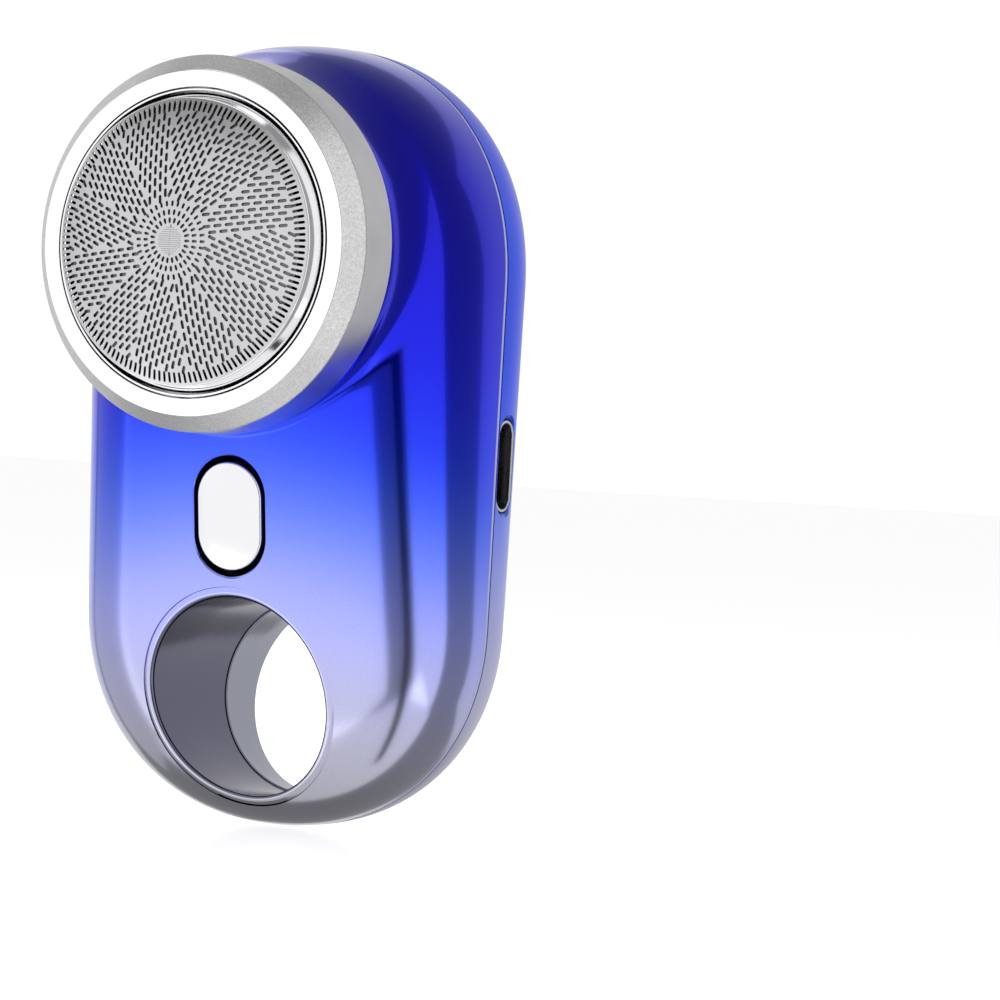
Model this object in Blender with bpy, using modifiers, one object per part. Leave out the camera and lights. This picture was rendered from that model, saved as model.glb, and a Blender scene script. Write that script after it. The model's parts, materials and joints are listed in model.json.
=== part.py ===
"""A pocket electric shaver: a two-shell body with a finger hole, a round rotary head and a rear display.

Every piece is modelled in the face frame: X to the right, Y up and Z forward out of the face, with the
origin at the middle of the seam between the shells. One empty stands that frame upright, so that the head
faces -Y, the object stands on z = 0 and its box is centred on the Z axis.
"""

import math

import bmesh
import bpy
from mathutils import Matrix, Vector

MM = 0.001

# Body
BODY_HEIGHT = 76.0 * MM
BODY_HALF_WIDTH = 21.3 * MM
TOP_END_HEIGHT = 22.8 * MM
BOTTOM_END_HEIGHT = 20.5 * MM
END_POWER = 2.15
FRONT_DEPTH = 15.06 * MM
FRONT_SLOPE = 0.1374
BACK_DEPTH = 11.87 * MM
BACK_SLOPE = 0.0356
CROWN_POWER = 2.69
WALL = 1.5 * MM
SEAM_HALF = 0.45 * MM
GASKET_HALF = 0.25 * MM
GASKET_SINK = 0.15 * MM
GASKET_DEPTH = 1.3 * MM

# Head
HEAD_DROP = 20.3 * MM
RING_RADIUS = 18.0 * MM
RING_FACE = 23.7 * MM
RING_CHAMFER_DEPTH = 1.9 * MM
RING_CHAMFER_WIDTH = 1.6 * MM
RING_SIDE = 5.1 * MM
RING_BORE = 14.8 * MM
RING_SHELF_DEPTH = 3.1 * MM
SEAL_DEPTH = 1.2 * MM
SPIGOT_WALL = 1.9 * MM
SPIGOT_LAND = 0.6 * MM
NECK_RADIUS = 17.4 * MM
NECK_WALL = 1.6 * MM
NECK_FLANGE = 2.8 * MM
NECK_FLANGE_THICKNESS = 1.4 * MM
BEZEL_WALL = 0.2 * MM
FOIL_THICKNESS = 0.35 * MM
FOIL_RISE = 4.0 * MM
FOIL_DOME = 2.6 * MM
FOIL_SHOULDER = 13.6 * MM
RETAINER_WALL = 1.0 * MM
SEAL_WIRE = 0.35 * MM
HEAD_TRAVEL = 12.0 * MM

# Motor and cutter
MOTOR_RADIUS = 10.0 * MM
MOTOR_WALL = 0.8 * MM
MOTOR_CAP = 1.4 * MM
MAGNET_WALL = 1.6 * MM
BUSH_WALL = 1.4 * MM
SHAFT_POCKET = 0.6 * MM
SHAFT_RADIUS = 1.0 * MM
DECK_THICKNESS = 1.2 * MM
COUPLING_RADIUS = 3.4 * MM
COUPLING_HEIGHT = 4.0 * MM
COUPLING_FLOOR = 0.3 * MM
PEG_RADIUS = 1.4 * MM
PEG_HEIGHT = 5.4 * MM
HUB_RADIUS = 3.2 * MM
CARRIER_THICKNESS = 1.0 * MM
ARM_HEIGHT = 1.3 * MM
ARM_WIDTH = 2.0 * MM
ARM_ABOVE_BLADE = 0.9 * MM
BLADE_COUNT = 3
BLADE_START = math.radians(30.0)
BLADE_THICKNESS = 0.6 * MM
BLADE_HEIGHT = 2.4 * MM
BLADE_EDGE_INSET = 0.7 * MM
SPRING_WIRE = 0.3 * MM
SPRING_TURNS = 4.5

# Finger hole
FINGER_RISE = 12.5 * MM
FINGER_RADIUS = 9.6 * MM
SLEEVE_WALL = 1.0 * MM
SLEEVE_JOINT = 3.8 * MM
SLEEVE_BAND = 0.6 * MM
SLEEVE_LEDGE = 0.15 * MM

# Button and switch
BUTTON_HALF_WIDTH = 3.57 * MM
BUTTON_HALF_HEIGHT = 5.29 * MM
BUTTON_PLAY = 0.4 * MM
BUTTON_TRAVEL = 0.6 * MM
BUTTON_FLANGE = 0.6 * MM
BUTTON_SEAL_WIDTH = 0.9 * MM
BUTTON_STEM_RADIUS = 1.5 * MM
BUTTON_FLANGE_DROP = 0.5 * MM
BUTTON_FLANGE_THICKNESS = 1.0 * MM
BUTTON_SEAL_HEIGHT = 1.2 * MM
BUTTON_CUT = 4.0 * MM
SWITCH_SIDE = 6.0 * MM
SWITCH_HEIGHT = 3.5 * MM
PLUNGER_HEIGHT = 1.5 * MM
PLUNGER_RADIUS = 1.6 * MM

# Display
DISPLAY_DROP = 21.1 * MM
DISPLAY_RADIUS = 8.55 * MM
DISPLAY_RIM = 0.5 * MM
RIM_LIP = 0.9 * MM
LENS_THICKNESS = 1.0 * MM
LENS_CHAMFER = 0.15 * MM
PANEL_THICKNESS = 1.6 * MM
FLEX_HALF_WIDTH = 3.0 * MM
FLEX_CORNER = 1.0 * MM
FLEX_THICKNESS = 0.2 * MM

# Board, socket and battery
BOARD_THICKNESS = 1.0 * MM
BOARD_EDGE = 3.1 * MM
SOCKET_DROP = 19.5 * MM
SOCKET_BEHIND = 2.6 * MM
SOCKET_WIDTH = 8.94 * MM
SOCKET_HEIGHT = 3.16 * MM
SOCKET_LENGTH = 7.3 * MM
SOCKET_WALL = 0.3 * MM
SOCKET_INSET = 0.5 * MM
SLOT_PLAY = 0.15 * MM
TONGUE_HALF_WIDTH = 3.35 * MM
TONGUE_HALF_THICKNESS = 0.35 * MM
TONGUE_SINK = 1.2 * MM
BATTERY_THICKNESS = 4.6 * MM
BATTERY_LEFT_SHARE = 0.75
BATTERY_BELOW_BAY = 2.4 * MM
BATTERY_CORNER = 0.9 * MM
BATTERY_LEAD_INSET = 3.5 * MM
BATTERY_LEAD_STEP = 2.2 * MM
SCREW_RADIUS = 0.6 * MM
SCREW_HEAD_RADIUS = 1.15 * MM
SCREW_HEAD = 0.7 * MM
BOSS_RADIUS = 2.0 * MM
LEAD_RADIUS = 0.42 * MM
LEAD_SPREAD = 1.08

# Clearances
GAP = 0.3 * MM
FIT = 0.15 * MM
ROOM = 0.8 * MM

# Facets
END_STEPS = 24
CROWN_STEPS = 7
CROWN_LAST = math.radians(80.0)
FINE_STEPS = 40
COARSE_STEPS = 20
STADIUM_STEPS = 8

# Derived places, in the face frame
HEAD_Y = BODY_HEIGHT / 2 - HEAD_DROP
FINGER_Y = -BODY_HEIGHT / 2 + FINGER_RISE
DISPLAY_Y = BODY_HEIGHT / 2 - DISPLAY_DROP
RING_BACK = RING_FACE - RING_CHAMFER_DEPTH - RING_SIDE
NECK_RIM = RING_BACK - GAP
NECK_BORE = NECK_RADIUS - NECK_WALL
SLEEVE_RADIUS = FINGER_RADIUS + SLEEVE_WALL
BUTTON_Y = (HEAD_Y - RING_RADIUS + FINGER_Y + FINGER_RADIUS) / 2
BUTTON_TILT = math.atan(FRONT_SLOPE)
BAY_TOP = HEAD_Y - MOTOR_RADIUS - ROOM
BAY_BOTTOM = FINGER_Y + SLEEVE_RADIUS + ROOM
SOCKET_Y = HEAD_Y - SOCKET_DROP
SOCKET_Z = -SOCKET_BEHIND
BOARD_BACK = SOCKET_Z + SOCKET_HEIGHT / 2 + FIT
BOARD_FRONT = BOARD_BACK + BOARD_THICKNESS
BOARD_HALF_WIDTH = BODY_HALF_WIDTH - BOARD_EDGE


def depth_at(x, y, depth, slope):
    """Depth of a crowned face at (x, y): the crown falls from the centreline to nothing at the outline."""
    end = TOP_END_HEIGHT if y > 0 else BOTTOM_END_HEIGHT
    past = max(0.0, abs(y) - (BODY_HEIGHT / 2 - end))
    share = ((abs(x) / BODY_HALF_WIDTH) ** END_POWER + (past / end) ** END_POWER) ** (1 / END_POWER)
    crown = (1 - min(1.0, share) ** CROWN_POWER) ** (1 / CROWN_POWER)
    return (depth + slope * y) * crown


def front_at(x, y):
    return depth_at(x, y, FRONT_DEPTH, FRONT_SLOPE)


def back_at(x, y):
    return depth_at(x, y, BACK_DEPTH, BACK_SLOPE)


# The flange seats under the shell's wall, or lower, where the deck's screws have to clear the head's seal.
SEAL_BACK = RING_BACK - SEAL_DEPTH - 2 * SEAL_WIRE - FIT
DECK_STACK = NECK_FLANGE_THICKNESS + GAP + DECK_THICKNESS + FIT + SCREW_HEAD + GAP
NECK_FOOT = min(
    front_at(NECK_RADIUS, HEAD_Y) - WALL - NECK_FLANGE_THICKNESS, SEAL_BACK - SPIGOT_LAND - DECK_STACK
)
DECK_BACK = NECK_FOOT + NECK_FLANGE_THICKNESS + GAP
DECK_FRONT = DECK_BACK + DECK_THICKNESS
MOTOR_FRONT = DECK_BACK - GAP
BEZEL_BACK_Z = -back_at(DISPLAY_RADIUS, DISPLAY_Y) - 2 * FIT
LENS_BACK_Z = BEZEL_BACK_Z + FIT / 2
LENS_SEAT_Z = LENS_BACK_Z + LENS_THICKNESS + FIT
PANEL_BACK_Z = LENS_SEAT_Z + ROOM + FIT
MOTOR_BACK = PANEL_BACK_Z + PANEL_THICKNESS + GAP
BACK_REACH = -BEZEL_BACK_Z
FOIL_CROWN_Z = RING_FACE + FOIL_RISE
CENTRE_Y = (FOIL_CROWN_Z - BACK_REACH) / 2

FOIL_RADIUS = RING_BORE - BEZEL_WALL - 2 * FIT
SHELF_Z = RING_FACE - RING_SHELF_DEPTH
SPIGOT_RADIUS = NECK_BORE - GAP
SPIGOT_BORE = SPIGOT_RADIUS - SPIGOT_WALL
SPIGOT_END = DECK_FRONT + FIT + SCREW_HEAD + GAP
RETAINER_RADIUS = FOIL_RADIUS - FOIL_THICKNESS - FIT
RETAINER_BORE = RETAINER_RADIUS - RETAINER_WALL
CUTTER_RADIUS = min(RETAINER_BORE, SPIGOT_BORE) - ROOM / 2
COUPLING_BACK = DECK_FRONT + ROOM
COUPLING_FRONT = COUPLING_BACK + COUPLING_HEIGHT
BLADE_OUTER = CUTTER_RADIUS - BLADE_EDGE_INSET
BLADE_TIP_Z = FOIL_CROWN_Z - FOIL_DOME * (BLADE_OUTER / FOIL_SHOULDER) ** 2 - FOIL_THICKNESS - FIT
BLADE_BACK = BLADE_TIP_Z - BLADE_HEIGHT
ARM_TOP = BLADE_BACK + ARM_ABOVE_BLADE
CARRIER_FRONT = ARM_TOP - ARM_HEIGHT
CARRIER_BACK = CARRIER_FRONT - CARRIER_THICKNESS


def clear_scene():
    for item in list(bpy.data.objects):
        bpy.data.objects.remove(item, do_unlink=True)


def new_collection(name):
    made = bpy.data.collections.new(name)
    bpy.context.scene.collection.children.link(made)
    return made


def new_empty(name, parent, location, rotation_x):
    empty = bpy.data.objects.new(name, None)
    PARTS.objects.link(empty)
    empty.parent = parent
    empty.location = location
    empty.rotation_euler = (rotation_x, 0.0, 0.0)
    return empty


def finish(name, colour, roughness, metallic=0.0):
    made = bpy.data.materials.new(name)
    made.use_nodes = True
    shader = made.node_tree.nodes["Principled BSDF"]
    shader.inputs["Base Color"].default_value = (*colour, 1.0)
    shader.inputs["Roughness"].default_value = roughness
    shader.inputs["Metallic"].default_value = metallic
    made.diffuse_color = (*colour, 1.0)
    return made


def add_piece(name, data, material, parent, location=(0.0, 0.0, 0.0), turn=0.0):
    """A named piece of the object, in its parent's frame, turned about that frame's Z."""
    made = bpy.data.objects.new(name, data)
    PARTS.objects.link(made)
    made.parent = parent
    made.location = location
    made.rotation_euler = (0.0, 0.0, turn)
    made.data.materials.append(material)
    return made


def add_cutter(name, data, parent, location=(0.0, 0.0, 0.0)):
    """A tool that cuts or joins pieces and is not a piece itself."""
    made = bpy.data.objects.new(name, data)
    CUTTERS.objects.link(made)
    made.parent = parent
    made.location = location
    made.hide_render = True
    made.display_type = "WIRE"
    return made


def join_or_cut(piece, tool, operation):
    modifier = piece.modifiers.new(f"{operation.lower()} {tool.name}", "BOOLEAN")
    modifier.operation = operation
    modifier.object = tool


def smooth(mesh, degrees=35.0):
    mesh.shade_smooth()
    mesh.set_sharp_from_angle(angle=math.radians(degrees))
    return mesh


def box_mesh(name, size, centre):
    made = bmesh.new()
    place = Matrix.Translation(Vector(centre)) @ Matrix.Diagonal((*size, 1.0))
    bmesh.ops.create_cube(made, size=1.0, matrix=place)
    mesh = bpy.data.meshes.new(name)
    made.to_mesh(mesh)
    made.free()
    return mesh


def add_box(name, low, high, material, parent, bevel=0.0, turn=0.0):
    """A box between two corners, with rounded edges where a bevel is given."""
    low, high = Vector(low), Vector(high)
    mesh = box_mesh(name, high - low, (low + high) / 2)
    made = add_piece(name, mesh, material, parent, turn=turn)
    if bevel:
        rounded = made.modifiers.new("rounded edges", "BEVEL")
        rounded.width = bevel
        rounded.segments = 2
    return made


def cylinder_mesh(name, radius, back, front, centres=((0.0, 0.0),), steps=COARSE_STEPS):
    """One mesh of upright cylinders, one at each centre."""
    made = bmesh.new()
    for x, y in centres:
        place = Matrix.Translation((x, y, (back + front) / 2))
        bmesh.ops.create_cone(
            made, cap_ends=True, segments=steps, radius1=radius, radius2=radius,
            depth=front - back, matrix=place,
        )
    mesh = bpy.data.meshes.new(name)
    made.to_mesh(mesh)
    made.free()
    return mesh


def screw_profile(made, steps):
    turn = made.modifiers.new("turned", "SCREW")
    turn.steps = steps
    turn.render_steps = steps
    turn.use_merge_vertices = True
    turn.merge_threshold = 0.00001
    turn.use_normal_calculate = False


def profile_mesh(name, points, closed):
    """A profile of (radius, height) points in the XZ plane, running down the outer side."""
    mesh = bpy.data.meshes.new(name)
    count = len(points)
    edges = [(i, i + 1) for i in range(count - 1)]
    if closed:
        edges.append((count - 1, 0))
    mesh.from_pydata([(radius, 0.0, height) for radius, height in points], edges, [])
    return mesh


def add_turned(name, points, material, parent, centre=(0.0, 0.0), steps=COARSE_STEPS, closed=True):
    made = add_piece(name, profile_mesh(name, points, closed), material, parent, (*centre, 0.0))
    screw_profile(made, steps)
    return made


def add_ring(name, outer, inner, front, back, material, parent, steps=COARSE_STEPS):
    """A plain turned ring between two radii and two heights."""
    points = [(outer, front), (outer, back), (inner, back), (inner, front)]
    return add_turned(name, points, material, parent, steps=steps)


def loft_mesh(name, rings, closed_ends):
    """Quads between rings of equal length, anticlockwise, from the first ring towards the viewer."""
    made = bmesh.new()
    rows = [[made.verts.new(point) for point in ring] for ring in rings]
    count = len(rows[0])
    for lower, upper in zip(rows, rows[1:]):
        for i in range(count):
            j = (i + 1) % count
            made.faces.new((lower[i], lower[j], upper[j], upper[i]))
    if closed_ends:
        made.faces.new(list(reversed(rows[0])))
    made.faces.new(rows[-1])
    mesh = bpy.data.meshes.new(name)
    made.to_mesh(mesh)
    made.free()
    return mesh


def stadium(half_width, half_height):
    """An upright stadium: two half circles joined by straight sides, anticlockwise."""
    straight = half_height - half_width
    points = []
    for side, start in ((1.0, 0.0), (-1.0, math.pi)):
        for step in range(STADIUM_STEPS + 1):
            angle = start + math.pi * step / STADIUM_STEPS
            points.append((half_width * math.cos(angle), half_width * math.sin(angle) + side * straight))
    return points


def round_stadium(half_width, half_height):
    """As a stadium, for a circle too: the straight side keeps a hair of length, so no two points meet."""
    return stadium(half_width, max(half_height, half_width + 0.02 * MM))


def stadium_loft(name, sections):
    """A closed solid through stadium sections of (height, half width, half height), from back to front."""
    rings = [
        [(x, y, height) for x, y in round_stadium(half_width, half_height)]
        for height, half_width, half_height in sections
    ]
    return loft_mesh(name, rings, closed_ends=True)


def outline(share, inset=0.0):
    """The body's outline, anticlockwise, shrunk towards its centreline by a share and by an inset."""
    half_width = (BODY_HALF_WIDTH - inset) * share
    points = []
    for end, side in ((TOP_END_HEIGHT, 1.0), (BOTTOM_END_HEIGHT, -1.0)):
        middle = BODY_HEIGHT / 2 - end
        reach = (end - inset) * share
        for step in range(END_STEPS + 1):
            angle = math.pi * step / END_STEPS
            across = math.cos(angle) * side
            along = abs(math.sin(angle)) ** (2 / END_POWER)
            x = half_width * math.copysign(abs(across) ** (2 / END_POWER), across)
            points.append((x, side * (middle + reach * along)))
    return points


def crown_rings(depth, slope, lowered=0.0):
    """Rings of a crowned face from the seam to near the centreline; the front one faces +Z."""
    rings = []
    for step in range(CROWN_STEPS + 1):
        angle = CROWN_LAST * step / CROWN_STEPS
        share = math.cos(angle) ** (2 / CROWN_POWER)
        rise = math.sin(angle) ** (2 / CROWN_POWER)
        rings.append([(x, y, max(0.0, (depth + slope * y) * rise - lowered)) for x, y in outline(share)])
    return rings


def mirrored(rings):
    """Rings reflected to the back of the seam, still running anticlockwise for a viewer behind them."""
    return [[(x, y, -z) for x, y, z in reversed(ring)] for ring in rings]


def add_shell(name, rings, forward, material):
    """A crowned shell with an even wall, trimmed flat beside the seam."""
    skirt = [(x, y, -forward * 1.0 * MM) for x, y, _ in rings[0]]
    mesh = loft_mesh(name, [skirt, *rings], closed_ends=False)
    shell = add_piece(name, smooth(mesh), material, FACE)
    wall = shell.modifiers.new("wall", "SOLIDIFY")
    wall.thickness = WALL
    wall.offset = -1.0
    wall.use_even_offset = True
    reach = BODY_HEIGHT
    low = SEAM_HALF if forward > 0 else -reach
    high = reach if forward > 0 else -SEAM_HALF
    half = box_mesh(f"{name} side", (reach * 2, reach * 2, high - low), (0.0, 0.0, (low + high) / 2))
    join_or_cut(shell, add_cutter(f"{name} side", half, FACE), "INTERSECT")
    return shell


def bore(piece, name, mesh, parent, centre=(0.0, 0.0)):
    join_or_cut(piece, add_cutter(name, mesh, parent, (*centre, 0.0)), "DIFFERENCE")


def foil_front(radius):
    """Height of the foil's domed outer face at a radius from the head's axis."""
    return FOIL_CROWN_Z - FOIL_DOME * (radius / FOIL_SHOULDER) ** 2


def plate_mesh(name, edge, thickness):
    """An upright plate across Y whose edge of (x, z) points runs anticlockwise for a viewer at -Y."""
    rings = [[(x, y, z) for x, z in edge] for y in (thickness / 2, -thickness / 2)]
    return loft_mesh(name, rings, closed_ends=True)


def screw_points(count, radius, start):
    """Centres of screws spread evenly on a circle."""
    angles = [start + 2 * math.pi * i / count for i in range(count)]
    return [(radius * math.cos(angle), radius * math.sin(angle)) for angle in angles]


def add_screw(name, x, y, seat, length, forward, parent):
    """A pan-head screw whose head rests at seat and whose shank runs away from the head's side."""
    head = (SCREW_HEAD_RADIUS, SCREW_HEAD_RADIUS)
    rise = seat + forward * (FIT + SCREW_HEAD)
    under = seat + forward * FIT
    tip = seat - forward * length
    points = [(0.0, rise), (head[0] * 0.8, rise), (head[0], (rise + under) / 2), (head[1], under)]
    points += [(SCREW_RADIUS, under), (SCREW_RADIUS, tip), (0.0, tip)]
    if forward < 0:
        points.reverse()
    return add_turned(name, points, STEEL, parent, (x, y), steps=16, closed=False)


def add_wire(name, points, radius, material, parent, cyclic=False):
    """A round wire along a smooth run of points, as a POLY curve with filled caps."""
    curve = bpy.data.curves.new(name, "CURVE")
    curve.dimensions = "3D"
    curve.bevel_depth = radius
    curve.bevel_resolution = 2
    curve.use_fill_caps = True
    spline = curve.splines.new("POLY")
    spline.points.add(len(points) - 1)
    for point, place in zip(spline.points, points):
        point.co = (*place, 1.0)
    spline.use_cyclic_u = cyclic
    return add_piece(name, curve, material, parent)


def smooth_path(points, per_span=5):
    """Points read from a Catmull-Rom curve through the given ones."""
    ends = [Vector(points[0]) * 2 - Vector(points[1]), *map(Vector, points)]
    ends.append(ends[-1] * 2 - ends[-2])
    path = []
    for a, b, c, d in zip(ends, ends[1:], ends[2:], ends[3:]):
        for step in range(per_span):
            t = step / per_span
            path.append(0.5 * (2 * b + (c - a) * t + (2 * a - 5 * b + 4 * c - d) * t * t
                               + (3 * b - a - 3 * c + d) * t ** 3))
    path.append(Vector(points[-1]))
    return path


clear_scene()
PARTS = new_collection("electric shaver")
CUTTERS = new_collection("cutters")

SHELL_BLUE = finish("gradient blue shell", (0.05, 0.13, 0.62), 0.28, 0.6)
CHROME = finish("polished chrome", (0.86, 0.87, 0.88), 0.08, 1.0)
DARK_CHROME = finish("dark chrome", (0.34, 0.35, 0.38), 0.15, 1.0)
PEARL = finish("pearl silver", (0.82, 0.83, 0.84), 0.22, 0.8)
STEEL = finish("stainless steel", (0.6, 0.61, 0.62), 0.3, 1.0)
BRASS = finish("brass", (0.72, 0.55, 0.25), 0.3, 1.0)
COPPER = finish("copper winding", (0.7, 0.36, 0.2), 0.35, 1.0)
MAGNET = finish("ferrite magnet", (0.06, 0.06, 0.065), 0.6)
BLACK_GLASS = finish("black glass", (0.01, 0.01, 0.014), 0.05)
BLACK_PLASTIC = finish("black plastic", (0.03, 0.03, 0.032), 0.45)
WHITE_PLASTIC = finish("white plastic", (0.8, 0.8, 0.79), 0.45)
BOARD_GREEN = finish("circuit board", (0.03, 0.2, 0.08), 0.4)
BATTERY_FOIL = finish("battery pouch", (0.55, 0.56, 0.57), 0.35, 0.6)
RUBBER = finish("seal rubber", (0.05, 0.05, 0.05), 0.7)
SEAM_SILVER = finish("pale seam", (0.75, 0.77, 0.82), 0.3, 0.4)
RED_WIRE = finish("red lead", (0.6, 0.03, 0.02), 0.45)
BLACK_WIRE = finish("black lead", (0.02, 0.02, 0.02), 0.45)
AMBER_FLEX = finish("amber flex", (0.65, 0.32, 0.05), 0.4)

BODY_MIDDLE = (0.0, CENTRE_Y, BODY_HEIGHT / 2)
FACE = new_empty("face_frame", None, BODY_MIDDLE, math.radians(90.0))
HEAD_AXIS = new_empty("head_axis", FACE, (0.0, HEAD_Y, 0.0), 0.0)
DRIVE_AXIS = new_empty("drive_axis", FACE, (0.0, HEAD_Y, 0.0), 0.0)
BUTTON_AXIS = new_empty("button_axis", FACE, (0.0, BUTTON_Y, front_at(0.0, BUTTON_Y)), BUTTON_TILT)
FINGER_AXIS = new_empty("finger_axis", FACE, (0.0, FINGER_Y, 0.0), 0.0)
DISPLAY_AXIS = new_empty("display_axis", FACE, (0.0, DISPLAY_Y, 0.0), 0.0)

FRONT_RINGS = crown_rings(FRONT_DEPTH, FRONT_SLOPE)
BACK_RINGS = mirrored(crown_rings(BACK_DEPTH, BACK_SLOPE))
DECK_SCREWS = screw_points(3, NECK_BORE - NECK_FLANGE / 2, math.radians(90.0))
MOTOR_SCREWS = screw_points(2, MOTOR_RADIUS * 0.6, 0.0)
BOARD_SCREW_X = BOARD_HALF_WIDTH - 3.7 * MM
BOARD_SCREW_Y = BAY_BOTTOM + 2.4 * MM
BOARD_SCREWS = [(-BOARD_SCREW_X, BOARD_SCREW_Y), (BOARD_SCREW_X, BOARD_SCREW_Y)]
BOARD_SCREW_LENGTH = BOARD_THICKNESS + 3.0 * MM
SCREW_HOLE = SCREW_RADIUS + FIT


def build_shells():
    """The two half shells, the neck, and every opening in them."""
    front = add_shell("front_shell", FRONT_RINGS, 1, SHELL_BLUE)
    rear = add_shell("rear_shell", BACK_RINGS, -1, SHELL_BLUE)
    reach = BODY_HEIGHT / 2

    crown_hole = cylinder_mesh("crown hole", NECK_BORE + NECK_WALL / 2, GAP, reach, steps=FINE_STEPS)
    bore(front, "crown hole", crown_hole, HEAD_AXIS)
    flange_bore = NECK_BORE - NECK_FLANGE
    flange_front = NECK_FOOT + NECK_FLANGE_THICKNESS
    neck_points = [
        (NECK_RADIUS, NECK_RIM), (NECK_RADIUS, NECK_FOOT), (flange_bore, NECK_FOOT),
        (flange_bore, flange_front), (NECK_BORE, flange_front), (NECK_BORE, NECK_RIM),
    ]
    neck = add_cutter("neck", profile_mesh("neck", neck_points, closed=True), HEAD_AXIS)
    screw_profile(neck, FINE_STEPS)
    join_or_cut(front, neck, "UNION")
    deck_holes = cylinder_mesh("deck screw holes", SCREW_HOLE, NECK_FOOT - GAP, DECK_FRONT, DECK_SCREWS, 12)
    bore(front, "deck screw holes", deck_holes, HEAD_AXIS)

    for index, (x, y) in enumerate(BOARD_SCREWS, 1):
        boss_top = front_at(abs(x) + BOSS_RADIUS, y) - WALL / 2
        boss = cylinder_mesh(f"board boss {index}", BOSS_RADIUS, BOARD_FRONT + GAP, boss_top, [(x, y)], 16)
        join_or_cut(front, add_cutter(f"board boss {index}", boss, FACE), "UNION")
    boss_holes = cylinder_mesh(
        "boss holes", SCREW_HOLE, BOARD_FRONT - GAP, BOARD_FRONT + BOARD_SCREW_LENGTH, BOARD_SCREWS, 12
    )
    bore(front, "boss holes", boss_holes, FACE)

    around = (BUTTON_HALF_WIDTH + BUTTON_PLAY, BUTTON_HALF_HEIGHT + 1.5 * BUTTON_PLAY)
    recess = [(-BUTTON_CUT, *around), (BUTTON_CUT, *around)]
    bore(front, "button opening", stadium_loft("button opening", recess), BUTTON_AXIS)
    for shell in (front, rear):
        hole = cylinder_mesh("finger bore", SLEEVE_RADIUS + 1.5 * FIT, -reach, reach, steps=FINE_STEPS)
        bore(shell, f"{shell.name} finger bore", hole, FINGER_AXIS)
    window = cylinder_mesh(
        "display window", DISPLAY_RADIUS + FIT, -reach, -GAP, steps=FINE_STEPS
    )
    bore(rear, "display window", window, DISPLAY_AXIS)
    half_slot = (SOCKET_HEIGHT / 2 + SLOT_PLAY, SOCKET_WIDTH / 2 + SLOT_PLAY)
    slot_near = BODY_HALF_WIDTH - 4 * WALL
    slot_far = BODY_HALF_WIDTH + WALL
    slot = stadium_loft("socket slot", [(slot_near, *half_slot), (slot_far, *half_slot)])
    tool = add_cutter("socket slot", slot, FACE, (0.0, SOCKET_Y, SOCKET_Z))
    tool.rotation_euler = (0.0, math.radians(90.0), 0.0)
    join_or_cut(rear, tool, "DIFFERENCE")


def build_seam_gasket():
    """A pale strip in the seam, just inside the shells' outer edge."""
    edge = outline(1.0, GASKET_SINK)
    rings = [[(x, y, z) for x, y in edge] for z in (-GASKET_HALF, GASKET_HALF)]
    made = bmesh.new()
    rows = [[made.verts.new(point) for point in ring] for ring in rings]
    for i in range(len(edge)):
        j = (i + 1) % len(edge)
        made.faces.new((rows[0][i], rows[0][j], rows[1][j], rows[1][i]))
    mesh = bpy.data.meshes.new("seam_gasket")
    made.to_mesh(mesh)
    made.free()
    strip = add_piece("seam_gasket", smooth(mesh), SEAM_SILVER, FACE)
    wall = strip.modifiers.new("depth", "SOLIDIFY")
    wall.thickness = GASKET_DEPTH
    wall.offset = -1.0


def build_finger_sleeves():
    """A two-part liner through the body, its ends cut to the crowned faces, with a thin band between."""
    lowered = 0.1 * MM
    back = list(reversed([[(x, y, -z) for x, y, z in ring]
                          for ring in crown_rings(BACK_DEPTH, BACK_SLOPE, lowered)]))
    front = crown_rings(FRONT_DEPTH, FRONT_SLOPE, lowered)[1:]
    body = add_cutter("body envelope", loft_mesh("body envelope", back + front, closed_ends=True), FACE)
    reach = BODY_HEIGHT / 2
    band_front = -SLEEVE_JOINT + SLEEVE_BAND / 2
    band_back = -SLEEVE_JOINT - SLEEVE_BAND / 2
    spans = (
        ("finger_sleeve_front", reach, band_front + FIT),
        ("finger_sleeve_rear", band_back - FIT, -reach),
    )
    for name, high, low in spans:
        sleeve = add_ring(
            name, SLEEVE_RADIUS, FINGER_RADIUS, high, low, DARK_CHROME, FINGER_AXIS, steps=FINE_STEPS
        )
        join_or_cut(sleeve, body, "INTERSECT")
    add_ring(
        "finger_sleeve_band", SLEEVE_RADIUS, FINGER_RADIUS - SLEEVE_LEDGE, band_front, band_back,
        CHROME, FINGER_AXIS, steps=FINE_STEPS,
    )


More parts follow.
